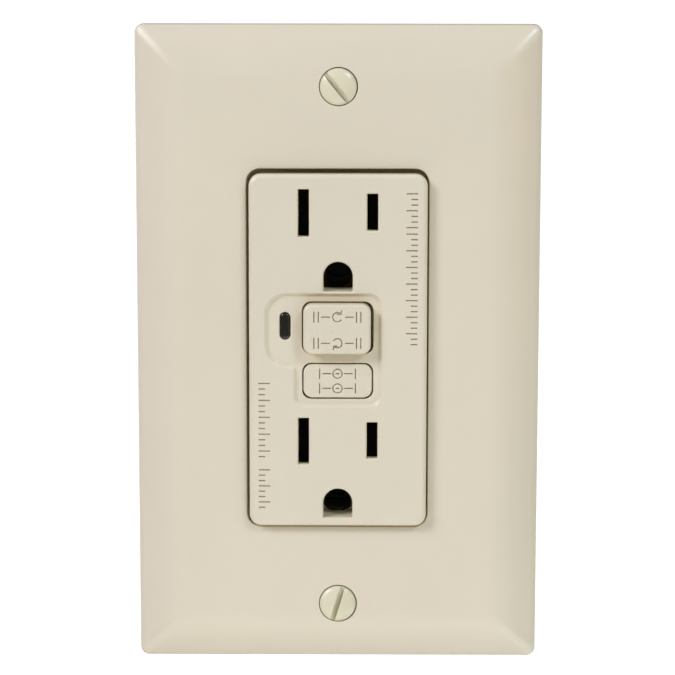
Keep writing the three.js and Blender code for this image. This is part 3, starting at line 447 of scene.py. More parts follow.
def add_bump(material, fac, height_mm, strength=1.0):
    """Lets a noise raise and sink the surface."""
    nodes, links = material.node_tree.nodes, material.node_tree.links
    bump = nodes.new("ShaderNodeBump")
    bump.inputs["Strength"].default_value = strength
    bump.inputs["Distance"].default_value = height_mm * MM
    links.new(fac, bump.inputs["Height"])
    links.new(bump.outputs["Normal"], nodes["Principled BSDF"].inputs["Normal"])


PAINTED_HALF_SHADE = (1.0, 0.97, 0.87)  # painted warm shade where a surface is only half closed in
MIX_A, MIX_B, MIX_RESULT = 6, 7, 2  # a Mix node's colour sockets, which share their names with others
PAINTED_SHADE_PLACES = (0.1, 0.62, 1)  # how open the surface is at the deep painted shade, the half shade and the plain colour


def paint_crease_shade(material, reach_mm, deep):
    """Paints shade into the colour: multiplies it towards a deep tone where surfaces close in, by ambient
    occlusion.
    """
    nodes, links = material.node_tree.nodes, material.node_tree.links
    base = nodes["Principled BSDF"].inputs["Base Color"]
    crease = nodes.new("ShaderNodeAmbientOcclusion")
    crease.inputs["Distance"].default_value = reach_mm * MM
    crease.samples = 8
    ramp = nodes.new("ShaderNodeValToRGB")
    ramp.color_ramp.elements.new(0.5)
    for element, place, colour in zip(ramp.color_ramp.elements, PAINTED_SHADE_PLACES, (deep, PAINTED_HALF_SHADE, (1, 1, 1))):
        element.position = place
        element.color = (*colour, 1)
    multiply = nodes.new("ShaderNodeMix")
    multiply.data_type = "RGBA"
    multiply.blend_type = "MULTIPLY"
    multiply.inputs["Factor"].default_value = 1
    links.new(crease.outputs["AO"], ramp.inputs["Fac"])
    links.new(base.links[0].from_socket, multiply.inputs[MIX_A])
    links.new(ramp.outputs["Color"], multiply.inputs[MIX_B])
    links.new(multiply.outputs[MIX_RESULT], base)


def banded(name, colour, bands, low_z, high_z):
    """A lacquered body with rings painted across Z: (place from 0 to 1, colour), each held to the next."""
    material = new_finish(name, colour, 0.3)
    nodes, links = material.node_tree.nodes, material.node_tree.links
    place = nodes.new("ShaderNodeTexCoord")
    axes = nodes.new("ShaderNodeSeparateXYZ")
    ranged = nodes.new("ShaderNodeMapRange")
    ranged.inputs["From Min"].default_value = low_z * MM
    ranged.inputs["From Max"].default_value = high_z * MM
    ramp = nodes.new("ShaderNodeValToRGB")
    ramp.color_ramp.interpolation = "CONSTANT"
    for i, (start, tone) in enumerate(bands):
        element = ramp.color_ramp.elements[i] if i < 2 else ramp.color_ramp.elements.new(start)
        element.position = start
        element.color = (*tone, 1)
    links.new(place.outputs["Object"], axes.inputs["Vector"])
    links.new(axes.outputs["Z"], ranged.inputs["Value"])
    links.new(ranged.outputs["Result"], ramp.inputs["Fac"])
    links.new(ramp.outputs["Color"], nodes["Principled BSDF"].inputs["Base Color"])
    vary_roughness(material, add_noise(material, 500, 3), 0.22, 0.42)
    add_bump(material, add_noise(material, 1500, 2), 0.015)
    return material


def tinted(colour, by):
    """A colour made lighter or darker, and held at 1."""
    return tuple(min(1, c * by) for c in colour)


def moulded(name, colour, roughness, grain_mm=0.006, spread=0.025, **sockets):
    """Moulded plastic: slow colour drift, uneven sheen and a very fine mould grain."""
    material = new_finish(name, colour, roughness, **sockets)
    vary_colour(material, add_noise(material, 38, 2), tinted(colour, 1 - spread), tinted(colour, 1 + spread))
    vary_roughness(material, add_noise(material, 160, 4), roughness - 0.05, roughness + 0.05)
    add_bump(material, add_noise(material, 2600, 3), grain_mm)
    return material


def metal(name, colour, roughness, stretch=(1, 1, 1), grain_mm=0.004, tarnish=0.86, **sockets):
    """Plated or stamped metal: drawn grain, and tarnish in slow patches."""
    material = new_finish(name, colour, roughness, 1.0, **sockets)
    vary_colour(material, add_noise(material, 240, 5), tinted(colour, tarnish), colour, (0.35, 0.65))
    vary_roughness(material, add_noise(material, 700, 4, stretch), roughness * 0.75, roughness * 1.3)
    add_bump(material, add_noise(material, 3800, 2, stretch), grain_mm)
    return material


add_camera()
add_studio()
add_floor()

ALMOND = (0.70, 0.645, 0.52)
FINISH = {
    "plate": moulded("almond plate", ALMOND, 0.33, 0.004, 0.012, Specular_IOR_Level=0.45),
    "face": moulded("almond face", (0.70, 0.65, 0.525), 0.36, 0.004, 0.012, Specular_IOR_Level=0.45),
    "button": moulded("almond button", (0.69, 0.64, 0.515), 0.30, 0.003, 0.012),
    "enamel": moulded("screw enamel", (0.70, 0.67, 0.50), 0.25, 0.02, 0.07),
    "lens": moulded("dark lens", (0.016, 0.0145, 0.012), 0.14, 0.001, 0.2),
    "lamp": moulded("red lamp", (0.5, 0.03, 0.02), 0.12, 0.001, 0.1, Transmission_Weight=0.4),
    "zinc": metal("zinc plate", (0.70, 0.71, 0.73), 0.30, (1, 1, 6)),
    "brass": metal("stamped brass", (0.80, 0.58, 0.24), 0.26, (1, 1, 6)),
    # painted shade: the ground contacts' brass is painted nearly black, as they sit in shade deep in the
    # ground holes
    "brass darkened for shade": metal("brass painted dark for shade", (0.16, 0.115, 0.05), 0.42, (1, 1, 6)),
    "bronze": metal("spring bronze", (0.74, 0.42, 0.22), 0.32, (1, 1, 8)),
    "nickel": metal("nickel plate", (0.72, 0.70, 0.66), 0.2),
    "green": metal("green dyed zinc", (0.06, 0.30, 0.11), 0.28, tarnish=0.7),
    "grey": moulded("grey thermoset", (0.20, 0.205, 0.21), 0.52, 0.012, 0.06),
    "dark": moulded("dark thermoset", (0.028, 0.028, 0.030), 0.46, 0.014, 0.12),
    "nylon": moulded("white nylon", (0.76, 0.74, 0.68), 0.42, 0.006, 0.03, Subsurface_Weight=0.1),
    "board": moulded("solder mask", (0.02, 0.13, 0.05), 0.3, 0.01, 0.18),
    "epoxy": moulded("black epoxy", (0.016, 0.016, 0.017), 0.5, 0.012, 0.15),
    "lacquer": moulded("blue lacquer", (0.03, 0.12, 0.36), 0.25, 0.02, 0.12, Coat_Weight=0.4),
    "fibre": moulded("red fibre", (0.27, 0.045, 0.03), 0.78, 0.03, 0.18),
    "wire": metal("enamelled wire", (0.52, 0.19, 0.06), 0.24, (1, 14, 1)),
}

TAN = (0.55, 0.37, 0.2)
BROWN, BLACK, ORANGE, GOLD = (0.13, 0.04, 0.015), (0.01, 0.01, 0.01), (0.72, 0.2, 0.02), (0.5, 0.34, 0.08)
RINGS = [(0, TAN), (0.14, BROWN), (0.22, TAN), (0.36, BLACK), (0.44, TAN)]
RINGS += [(0.52, ORANGE), (0.6, TAN), (0.8, GOLD), (0.88, TAN)]
RESISTOR_Z, HALF_BODY = centre("test_resistor").z, 3.2
FINISH["resistor"] = banded("banded resistor", TAN, RINGS, RESISTOR_Z - HALF_BODY, RESISTOR_Z + HALF_BODY)
# material: (reach in mm, deep tone) for the shade painted into its creases and gaps
PAINTED_CREASE_SHADE = {
    "plate": (0.7, (0.38, 0.26, 0.1)),
    "face": (2.3, (0.36, 0.24, 0.1)),
    "button": (0.5, (0.84, 0.7, 0.42)),
}
# shade painted into the creases and gaps of the plate, the face and the buttons
for finish_name, crease in PAINTED_CREASE_SHADE.items():
    paint_crease_shade(FINISH[finish_name], *crease)

# ---------------------------------------------------------------- wall plate
PLATE_LOW, PLATE_HIGH = extent("wall_plate")
PLATE = {
    "half_w": PLATE_HIGH.x,
    "half_h": PLATE_HIGH.z,
    "front": PLATE_LOW.y,
    "corner": 1.6,
    "side": 2.1,  # height of the straight side wall
    "bevel": 9.5,  # width of the soft bevel
    "wall": 2.2,
}
OPENING = {"x": -0.12, "z": -0.04, "half_w": 16.72, "half_h": 33.48, "corner": 2.5, "edge": 0.3}
PLATE_SCREW_Z = centre("plate_screw_upper").z
BOX_SCREW_Z = centre("mounting_screw_upper").z


def plate_ring(inset, y):
    """One ring of the plate's outline. Its corners tighten slowly towards the front."""
    r = PLATE["corner"] - 0.06 * inset
    points = rounded(0, 0, PLATE["half_w"] - inset, PLATE["half_h"] - inset, r)
    return [(x, y, z) for x, z in points]


def plate_shell():
    """The closed skin of the plate, ring by ring: opening, front, bevel, side, rim and hollow back."""
    front, side, bevel, wall = (PLATE[k] for k in ("front", "side", "bevel", "wall"))
    deep = front + wall
    mouth = rounded(*(OPENING[k] for k in ("x", "z", "half_w", "half_h", "corner")))
    lip = [(0, deep), *[(-o, y) for o, y in reversed(front_edge(front, OPENING["edge"]))]]
    rings = [[(x, y, z) for x, z in grown(mouth, o)] for o, y in lip]
    rise = -front - side
    soft = 0.7  # radius between side wall and bevel, measured down the wall
    steps = 18
    for i in range(steps, 0, -1):
        t = i / steps
        rings.append(plate_ring(bevel * t, -side - rise * math.sin(t * math.pi / 2)))
    for inset, down in ((0.22, -0.02), (0.08, 0.12), (0.015, 0.36), (0, soft)):
        rings.append(plate_ring(inset, -side + down))
    rings += [plate_ring(0, -0.2), plate_ring(0.06, -0.06), plate_ring(0.2, 0)]
    rings += [plate_ring(wall - 0.15, 0), plate_ring(wall, -0.15), plate_ring(wall, -0.4)]
    for i in range(1, 7):
        t = i / 6
        rings.append(plate_ring(wall + (8.2 - wall) * t, -0.4 + (deep + 0.4) * math.sin(t * math.pi / 2)))
    return loft(rings, closed=True)


def build_wall_plate():
    """The plate, with bosses and sinks for its screws."""
    plate = mesh_object("wall_plate-model", plate_shell())
    front = PLATE["front"]
    for z in (PLATE_SCREW_Z, -PLATE_SCREW_Z):
        combine(plate, moved(turned([(3.1, front + 1.4), (3.1, -1.9), (2.9, -1.7)]), (0, 0, z)), "UNION")
        sink = [(3.66, front - PAST), (3.66, front - 0.04), (3.56, front + 0.06), (3.53, front + 1.5)]
        sink += [(1.95, -4.0), (1.95, -1)]
        combine(plate, moved(turned(sink), (0.04, 0, z + 0.04)))  # a hair off the screw's axis
        for x in (-26, 26):
            # marks that the mould's ejector pins leave inside the plate
            pin = moved(turned([(2, front + 2.05), (2, -3)], 32), (x, 0, z * 0.55))
            combine(plate, pin)
    stands_for(plate, FINISH["plate"], "wall_plate")


# ---------------------------------------------------------------- front cover
FACE = {"z": -0.27, "half_w": 16.36, "half_h": 32.86, "front": extent("front_cover")[0].y, "corner": 2.2}
FACE_EDGE = 0.9  # radius all round the face
INSIDE = FACE["front"] + 2.0  # back of the face's wall
BODY = {"half_w": 21.7, "half_h": 33.8, "shoulder": -1.8, "corner": 2, "cover_back": 10.3}
RECESS_FLOOR = FACE["front"] + 0.6
BLADE_X = 6.33
BLADE_Z = (25.65, -16.85)
GROUND_DROP = 11.85  # from the middle of the blade slots down to the middle of the ground hole
GROUND_Z = tuple(z - GROUND_DROP for z in BLADE_Z)
GUIDE_BACK = -2.4
BODY_CORNERS = [(x, z) for x in (-18, 18) for z in (-30, 30)]
LENS_AT = (centre("indicator_lens").x, centre("indicator_lens").z - 0.12)


def recess_outline():
    """The sunk area round the buttons, with a lobe on the left for the indicator."""
    inner, right, low, high = -7.87, 7.8, -10.38, 10.42
    fillet, corner, lobe_low, top_r, low_r = 0.9, 2, -3.1, 3.5, 4.5
    lobe_x = inner - fillet
    left = lobe_x - low_r
    points = arc(inner + corner, low + corner, corner, 180, 270)
    points += arc(right - corner, low + corner, corner, -90, 0)
    points += arc(right - corner, high - corner, corner, 0, 90)
    points += arc(left + top_r, high - top_r, top_r, 90, 180)
    points += arc(lobe_x, lobe_low + low_r, low_r, 180, 270, 12)
    points += arc(lobe_x, lobe_low - fillet, fillet, 90, 0)[1:]
    return points


# each button's opening in the recess, and the cap in it: left, right, low and high edges
BUTTON_CORNER = 1.65
BUTTON_HOLE = {"reset_button": (-6.58, 6.5, -0.62, 9.06), "test_button": (-6.58, 6.5, -9.1, -2.36)}
BUTTON_CAP = {"reset_button": (-6.37, 6.02, -0.38, 8.86), "test_button": (-6.36, 6.28, -8.88, -2.58)}


def button_outline(edges, grow=0.0):
    """A button's rounded outline, grown evenly if asked."""
    left, right, low, high = edges
    half_w, half_h = (right - left) / 2 + grow, (high - low) / 2 + grow
    return rounded((left + right) / 2, (low + high) / 2, half_w, half_h, BUTTON_CORNER + grow)


def ground_outline(z, r=2.7):
    """A half round on top of a square with slightly eased lower corners."""
    foot = z - r - 0.1
    ease = 0.25
    points = arc(-r + ease, foot + ease, ease, 180, 270, 3) + arc(r - ease, foot + ease, ease, -90, 0, 3)
    return points + arc(0, z, r, 0, 180, 20)


def cover_body():
    """The face and the wider shoulder behind it as one lofted block."""
    face = rounded(0, FACE["z"], FACE["half_w"], FACE["half_h"], FACE["corner"])
    body = rounded(0, 0, BODY["half_w"], BODY["half_h"], BODY["corner"])
    shoulder = BODY["shoulder"]
    rings = [[(x, y, z) for x, z in grown(face, o)] for o, y in front_edge(FACE["front"], FACE_EDGE, 8)]
    rings.append([(x, shoulder, z) for x, z in face])
    sides = [*front_edge(shoulder, 0.35, 3), *back_edge(BODY["cover_back"], 0.15, 2)]
    rings += [[(x, y, z) for x, z in grown(body, o)] for o, y in sides]
    return loft(rings)


def recess_cutter():
    """A shallow pool with softly rounded walls."""
    depth = RECESS_FLOOR - FACE["front"]
    half = 0.42
    steps = 10
    sections = []
    for i in range(steps + 1):
        t = 0.9 * i / steps
        rise = (1 - math.cos(math.pi * t)) / 2
        sections.append((-half + 2 * half * t, RECESS_FLOOR - depth * rise))
    (o0, y0), (o1, y1) = sections[-2:]
    run = (y1 - FACE["front"] + 0.05) / (y0 - y1)
    out = o1 + (o1 - o0) * run
    return slab(recess_outline(), [*sections, (out, FACE["front"] - 0.05), (out, FACE["front"] - PAST)])


def pin_holes(z):
    """The two blade slots and the ground hole of one receptacle."""
    through = [(0, GUIDE_BACK + PAST), *flare(FACE["front"], 0.42)]
    outlines = [rounded(-BLADE_X, z - 0.15, 1, 4.35, 0.12, 2), rounded(BLADE_X, z, 1, 3.4, 0.12, 2)]
    return joined(*[slab(outline, through) for outline in (*outlines, ground_outline(z - GROUND_DROP))])


def pin_guides(z):
    """The short tube behind each ground hole that leads the pin to its contact."""
    outline = grown(ground_outline(z - GROUND_DROP), 0.75)
    return slab(outline, [(0, INSIDE - 0.2), (0, GUIDE_BACK - 0.1), (-0.1, GUIDE_BACK)])


def tick_marks():
    """Two columns of plain engraved ticks, one down each side of the face."""
    ticks = []
    front = FACE["front"]
    columns = [(13.53, [(29.1, 22.9), (21.7, 1.2)]), (-13.6, [(-6.1, -19.9), (-22.4, -29.5)])]
    pitch = 1.05
    for x, spans in columns:
        for high, low in spans:
            count = round((high - low) / pitch)
            for i in range(count + 1):
                z = high + (low - high) * i / count
                half = 1.05 if i % 3 == 0 else 0.6
                side = math.copysign(1.05 - half, x)
                tick = rounded(x + side, z, half, 0.12, 0.11, 3)
                ticks.append(slab(tick, [(-0.03, front + 0.2), (0, front + 0.13), (0.03, front - PAST)]))
    return joined(*ticks)


def finger_grooves():
    """Grooves moulded down both sides of the body."""
    grooves = []
    for side in (-1, 1):
        for z in range(-24, 28, 4):
            outline = rounded(side * BODY["half_w"], z, 0.3, 0.7, 0.28, 3)
            grooves.append(slab(outline, [(0, 2.0), (0, 8.8)]))
    return joined(*grooves)


def build_front_cover():
    """The receptacle face, hollow behind, with every hole, the sunk control area and the ticks."""
    cover = mesh_object("front_cover-model", cover_body())
    back = BODY["cover_back"] + PAST
    combine(cover, block((-14.6, 14.6), (INSIDE, back), (-31.2, 31.2)))
    combine(cover, block((-13.9, 13.9), (-1.5, back), (-35, 35)))
    combine(cover, block((-19.9, 19.9), (1, back), (-25.8, 25.8)))
    combine(cover, recess_cutter())
    for edges in BUTTON_HOLE.values():
        combine(cover, slab(button_outline(edges), [(0, INSIDE + PAST), *flare(RECESS_FLOOR, 0.14)]))
    hole = rounded(*LENS_AT, 0.97, 2.54, 0.96)
    combine(cover, slab(hole, [(0, INSIDE + PAST), *flare(RECESS_FLOOR, 0.3)]))
    for z in BLADE_Z:
        combine(cover, pin_guides(z), "UNION")
        combine(cover, pin_holes(z))
    combine(cover, tick_marks())
    holes = [moved(turned([(1.6, 0.4), (1.6, back)], 24), (x, 0, z)) for x, z in BODY_CORNERS]
    combine(cover, joined(*holes))
    combine(cover, finger_grooves())
    stands_for(cover, FINISH["face"], "front_cover")


# ---------------------------------------------------------------- plain symbols on the two buttons
def ribbon(path, half):
    """A stroke's outline: the path widened to both sides, with square ends."""
    points = [Vector(p) for p in path]
    last = len(points) - 1
    left, right = [], []
    for i, p in enumerate(points):
        before = (p - points[i - 1]).normalized() if i else (points[1] - p).normalized()
        after = (points[i + 1] - p).normalized() if i < last else before
        normal = Vector((-(before.y + after.y), before.x + after.x)).normalized()
        side = normal * (half / max(normal.dot(Vector((-after.y, after.x))), 0.4))
        reach = after * {0: -half, last: half}.get(i, 0)
        left.append(tuple(p + side + reach))
        right.append(tuple(p - side + reach))
    return right + left[::-1]


def bars(half, gap, count):
    """A level stroke and then upright ones, to the left and to the right of a symbol."""
    strokes = []
    for side in (-1, 1):
        strokes.append([(side * gap, 0), (side * (gap + 1.4), 0)])
        for i in range(count):
            x = side * (gap + 2 + 0.8 * i)
            strokes.append([(x, -half), (x, half)])
    return strokes


def reset_symbol():
    """An open ring with an arrow head, between bars."""
    ring = arc(0, 0, 0.85, 40, 320, 20)
    tip = ring[0]
    head = [(tip[0] - 0.62, tip[1] - 0.02), tip, (tip[0] + 0.1, tip[1] + 0.6)]
    return [ring, head, *bars(0.9, 1.5, 2)]


def test_symbol():
    """A closed ring round a short stroke, between bars."""
    halves = [arc(0, 0, 0.85, start, start + 180, 12) for start in (0, 180)]
    return [*halves, [(-0.25, 0), (0.25, 0)], *bars(0.85, 1.3, 1)]


def engraving(paths, x, z, front, upside_down=False):
    """Cutters for strokes engraved in a face round a centre."""
    flip = -1 if upside_down else 1
    cuts = []
    for path in paths:
        outline = ribbon([(x + flip * u, z + flip * v) for u, v in path], 0.1)
        cuts.append(slab(outline, [(-0.02, front + 0.3), (0, front + 0.15), (0.02, front - 0.4)]))
    return cuts


# ---------------------------------------------------------------- buttons, lens and lamp
def build_button(node, edge, symbol, rows, cap_back):
    """A cap with rounded edges, its hidden rim, and its symbol engraved both ways up."""
    front = extent(node)[0].y
    rim_front = INSIDE + 1.1
    sections = [*front_edge(front, edge, 8), (0, rim_front), (0.8, rim_front), (0.8, rim_front + 1)]
    sections += [(-0.05, rim_front + 1), (-0.05, cap_back)]
    piece = mesh_object(f"{node}-model", slab(button_outline(BUTTON_CAP[node]), sections))
    for z, upside_down in zip(rows, (False, True)):
        combine(piece, joined(*engraving(symbol, centre(node).x, z, front, upside_down)), crossing=True)
    return piece


def build_buttons():
    """The reset button with its stem, and the test button with its foot."""
    axis = centre("reset_shaft")
    reset = build_button("reset_button", 0.6, reset_symbol(), (6.6, 1.75), -3.4)
    stem = moved(turned([(2.1, -4.4), (2.1, -2.6), (1.9, -2.4)]), (axis.x, 0, axis.z))
    combine(reset, stem, "UNION")
    combine(reset, moved(turned([(1.25, -7.5), (1.25, -2)]), (axis.x, 0, axis.z)))
    stands_for(reset, FINISH["button"], "reset_button")

    high = extent("test_button")[1]
    test = build_button("test_button", 0.3, test_symbol(), (-4.35, -7.1), -3.2)
    foot = turned([(1.2, -3.4), (1.2, high.y - 0.3), (1.1, high.y - 0.1), (0.9, high.y)])
    combine(test, moved(foot, (centre("test_button").x, 0, centre("test_button").z)), "UNION")
    stands_for(test, FINISH["button"], "test_button")


def build_indicator():
    """The dark lens and the lamp behind it."""
    low, high = extent("indicator_lens")
    outline = rounded(*LENS_AT, 0.88, 2.45, 0.87, 12)
    crown = [(-0.62, 0), (-0.42, 0.02), (-0.2, 0.08), (-0.06, 0.18), (0, 0.32)]
    crown = [(inset, low.y + down) for inset, down in crown]
    lens = mesh_object("indicator_lens-model", slab(outline, [*crown, (0, high.y)]))
    stands_for(lens, FINISH["lens"], "indicator_lens")

    low, high = extent("indicator_led")
    bulb = [(1.5 * math.sin(a), 0.2 - 1.8 * math.cos(a)) for a in sweep(4, 90, 10)]
    lamp = turned([*bulb, (1.5, 3), (1.75, 3.05), (1.75, 3.8), (1.6, 3.85)])
    legs = [tube([(0, 3.6, z), (0, 12, z), (0, high.y, z)], 0.24) for z in (-1.15, 1.15)]
    at = centre("indicator_led")
    piece = mesh_object("indicator_led-model", moved(joined(lamp, *legs), (at.x, 0, at.z)))
    stands_for(piece, FINISH["lamp"], "indicator_led")


# ---------------------------------------------------------------- screws
PITCH_6_32 = 0.794


def threaded(r, start, end, pitch=PITCH_6_32, depth=0.3, sides=24, steps=8):
    """A shank with a helical thread that fades out at both ends, as (vertices, faces)."""
    count = max(2, round((end - start) / pitch * steps))
    rings = []
    for j in range(count + 1):
        y = start + (end - start) * j / count
        fade = min(1, (y - start) / pitch, (end - y) / pitch)
        ring = []
        for i in range(sides):
            a = 2 * math.pi * i / sides
            phase = (y / pitch - i / sides) % 1
            groove = 0.5 - 0.5 * math.cos(2 * math.pi * phase)
            here = r - depth * (1 - max(0, fade)) - depth * groove * max(0, fade)
            ring.append((here * math.cos(a), y, here * math.sin(a)))
        rings.append(ring)
    return loft(rings)


def slot_cutter(floor, top, half_w, reach=4.0, offset=0.0):
    """A driver slot right across a head, with its rims eased."""
    low, high = offset - half_w, offset + half_w
    outline = [(-reach, low), (reach, low), (reach, high), (-reach, high)]
    return slab(outline, [(0, floor), (0, top + 0.12), (0.08, top), (0.16, top - PAST)])


def slotted_screw(name, profile, shank_r, shank, slot, at, angle):
    """A turned head on a threaded shank, with a driver slot, set at an angle about Y."""
    head = mesh_object(name, turned(profile))
    combine(head, threaded(shank_r, *shank), "UNION")
    combine(head, slot_cutter(*slot))
    head.data.transform(Matrix.Rotation(angle, 4, "Y"))
    head.data.transform(Matrix.Translation(Vector(at) * MM))
    return head


def domed(r, rim, top, steps=8):
    """(radius, y) pairs of a domed head, from near its middle out to the rim."""
    return [(r * math.sin(a), rim + (top - rim) * math.cos(a)) for a in sweep(3, 90, steps)]


def build_plate_screws():
    """Oval heads on their joints' axes, each with its slot at its own angle."""
    for end, side, angle, offset in (("upper", 1, 0.885, -0.31), ("lower", -1, -1.267, 0.05)):
        node = f"plate_screw_{end}"
        low, high = extent(node)
        profile = [*domed(3.4, -5.72, low.y, 10), (3.3, -5.55), (1.5, -4.05), (1.25, -3.9)]
        at = (0, 0, side * PLATE_SCREW_Z)
        slot = (-5.72, low.y + 0.25, 0.43, 4, offset)
        screw = slotted_screw(f"{node}-model", profile, 1.6, (-4.1, high.y), slot, at, angle)
        stands_for(screw, FINISH["enamel"], node)


def build_box_screws():
    """The long screws that hold the strap to the box in the wall."""
    for end, side in (("upper", 1), ("lower", -1)):
        node = f"mounting_screw_{end}"
        low, high = extent(node)
        profile = [*domed(3.3, -2.2, low.y, 10), (3.3, -1.75), (3.15, -1.52), (1.5, -1.5), (1.3, -1.3)]
        at = (0, 0, side * BOX_SCREW_Z)
        slot = (-2.4, low.y + 0.25, 0.45)
        screw = slotted_screw(f"{node}-model", profile, 1.7, (-1.6, high.y), slot, at, 0.4 * side)
        stands_for(screw, FINISH["zinc"], node)


def build_washers():
    """Square fibre washers with clipped corners that hold the box screws in the strap."""
    for end in ("upper", "lower"):
        node = f"retainer_washer_{end}"
        low, high = extent(node)
        at = centre(node)
        half_w, half_h = (high.x - low.x) / 2, (high.z - low.z) / 2
        outline = softened([(-half_w, -half_h), (half_w, -half_h), (half_w, half_h), (-half_w, half_h)], 0.7)
        sections = [*front_edge(low.y, 0.1, 2), *back_edge(high.y, 0.1, 2)]
        washer = mesh_object(f"{node}-model", moved(slab(outline, sections), (at.x, 0, at.z)))
        combine(washer, moved(turned([(1.9, low.y - PAST), (1.9, high.y + PAST)], 32), (at.x, 0, at.z)))
        stands_for(washer, FINISH["fibre"], node)


# ---------------------------------------------------------------- strap
EAR_OUTLINE = [(13.5, 43.4), (16.2, 44.6), (17.6, 46.4), (17.6, 49.2)]
EAR_OUTLINE += [(15.6, 51.2), (12.6, 51.2), (11.6, 53.2)]
EAR_X = 12.9  # where an ear joins the strap


def strap_outline():
    """The strap with its four plaster ears."""
    right = [(x, -z) for x, z in reversed(EAR_OUTLINE)] + EAR_OUTLINE
    return softened(right + [(-x, z) for x, z in reversed(right)], 0.45, 3)


def pierced(piece, outlines, front, back, ease=0.1):
    """Punches holes through a sheet, with the die's rounding on the front rim."""
    cuts = [slab(outline, [(0, back + PAST), *flare(front, ease, 3)]) for outline in outlines]
    combine(piece, joined(*cuts), crossing=True)


def strap_holes():
    """Outlines of the openings for the works, the blades, the pins and the screws."""
    holes = [rounded(-1.1, -0.1, 10.7, 10.5, 0.8), rounded(0, 11.8, 3.3, 2.2, 0.1)]
    for z in BLADE_Z:
        holes += [rounded(side * 6.45, z - 0.4, 2.55, 5.2, 0.6) for side in (-1, 1)]
        holes.append(circle(0, z - GROUND_DROP, 3.3))
    for side in (-1, 1):
        holes.append(rounded(0, side * BOX_SCREW_Z, 3.4, 2, 1.99))
        holes.append(circle(0, side * PLATE_SCREW_Z, 1.8))
        # small rounds that let the plaster ears snap off
        holes += [circle(x, side * 47.8, 1.1, 24) for x in (-EAR_X, EAR_X)]
    return holes


def ear_scores(front):
    """Scored lines along which the plaster ears snap off."""
    scores = []
    for side in (-1, 1):
        for x in (-EAR_X, EAR_X):
            for z0, z1 in ((43.9, 46.2), (49.4, 51.3)):
                zs = sorted((side * z0, side * z1))
                scores.append(block((x - 0.12, x + 0.12), (front - PAST, front + 0.35), zs))
    return joined(*scores)


def build_strap():
    """A stamped steel yoke with plaster ears and a bent tab for the ground screw."""
    front, back = extent("mounting_strap")[0].y, 0.0
    sheet = [*front_edge(front, 0.18, 3), *back_edge(back, 0.06, 2)]
    strap = mesh_object("mounting_strap-model", slab(strap_outline(), sheet))
    pierced(strap, strap_holes(), front, back)
    combine(strap, ear_scores(front))
    tab = softened([(-0.6, -43.2), (10.4, -43.2), (10.4, -34.8), (-0.6, -34.8)], 0.9)
    verts, faces = slab(tab, [*front_edge(-12.6, 0.12, 2), *back_edge(-11.4, 0.12, 2)])
    combine(strap, ([(y, x, z) for x, y, z in verts], faces), "UNION")
    combine(strap, moved(turned([(1.95, -14), (1.95, -10)], 32), (0, 5.6, -39), ALONG_X))
    stands_for(strap, FINISH["zinc"], "mounting_strap")


def build_ground_screw():
    """A green hexagon head with a slot, on a thread that runs through the strap's tab."""
    low, high = extent("ground_screw")
    y, z = centre("ground_screw").y, centre("ground_screw").z
    hexagon = softened(circle(0, 0, 4, 6), 0.4, 2)
    screw = mesh_object("ground_screw-model", slab(hexagon, [(-0.5, -15.35), (0, -15.05), (0, -13)]))
    combine(screw, turned([*domed(3.1, -15.4, low.x, 5), (3.4, -15.2)]), "UNION")
    combine(screw, threaded(1.75, -13.2, high.x), "UNION")
    combine(screw, slot_cutter(-14.8, low.x + 0.2, 0.5, 5))
    screw.data.transform(ALONG_X.to_4x4())
    screw.data.transform(Matrix.Translation(Vector((0, y, z)) * MM))
    stands_for(screw, FINISH["green"], "ground_screw")


# ---------------------------------------------------------------- body behind the face
POCKET_Z = 19
AXIS = centre("reset_shaft")  # the shaft's axis, along Y
MOTOR = centre("solenoid_plunger")  # the solenoid's axis, along Z


def terminal_pockets(shell, front, back):
    """Cuts the four terminal pockets, and the funnelled wire holes that lead into them from the back."""
    for side in (-1, 1):
        z = side * POCKET_Z
        for hand in (-1, 1):
            xs = sorted((hand * 10.3, hand * 23))
            combine(shell, block(xs, (front - PAST, 21.2), (z - 6, z + 6)))
            for dz in (-3.7, 3.7):
                hole = [(1.6, 20), (1.6, back - 1.2), (2.3, back - 0.1), (2.45, back + PAST)]
                combine(shell, moved(turned(hole, 32), (hand * 16.2, 0, z + dz)))
            if side > 0:
                strip = sorted((hand * 8, hand * 11))
                combine(shell, block(strip, (front - PAST, 14.2), (16.9, 20.3)))


def build_back_housing():
    """A deep tray with rooms for the works, wells for its screws, and wire holes and gauges in its back."""
    low, high = extent("back_housing")
    front, back = low.y, high.y
    deep = back - 1.8
    outline = rounded(0, 0, BODY["half_w"], BODY["half_h"], BODY["corner"])
    sections = [*front_edge(front, 0.12, 2), *back_edge(back, 0.8, 6)]
    shell = mesh_object("back_housing-model", slab(outline, sections))
    rooms = [block((-8.9, 8.9), (front - PAST, deep), (-32.2, 32.2))]
    rooms += [block((-19.9, 19.9), (front - PAST, deep), (-11.5, 11.5))]
    rooms += [block((-13.8, 13.8), (front - PAST, deep), zs) for zs in ((26.6, 32.2), (-32.2, -26.6))]
    for room in rooms:
        combine(shell, room)
    terminal_pockets(shell, front, back)
    for x, z in BODY_CORNERS:
        well = [(1.6, front - PAST), (1.6, 26.8), (3.2, 26.8)]
        well += [(3.2, back - 0.25), (3.5, back + 0.05), (3.5, back + PAST)]
        combine(shell, moved(turned(well, 32), (x, 0, z)))
    panel = slab(rounded(0, 0, 11, 14, 1.2), [(0, back - 0.35), (0.12, back + PAST)])
    combine(shell, panel)
    gauge_depth = [(0, back - 0.5), (0.1, back + PAST)]
    combine(shell, joined(*[slab(rounded(x, 0, 0.7, 6, 0.3, 3), gauge_depth) for x in (-16.2, 16.2)]))
    stands_for(shell, FINISH["dark"], "back_housing")


HAIR = 0.04  # what is left of a closed seam
SEPARATOR_FLOOR = (10.6, 12.2)  # front and back of the floor
SEPARATOR_RIM = 1.4


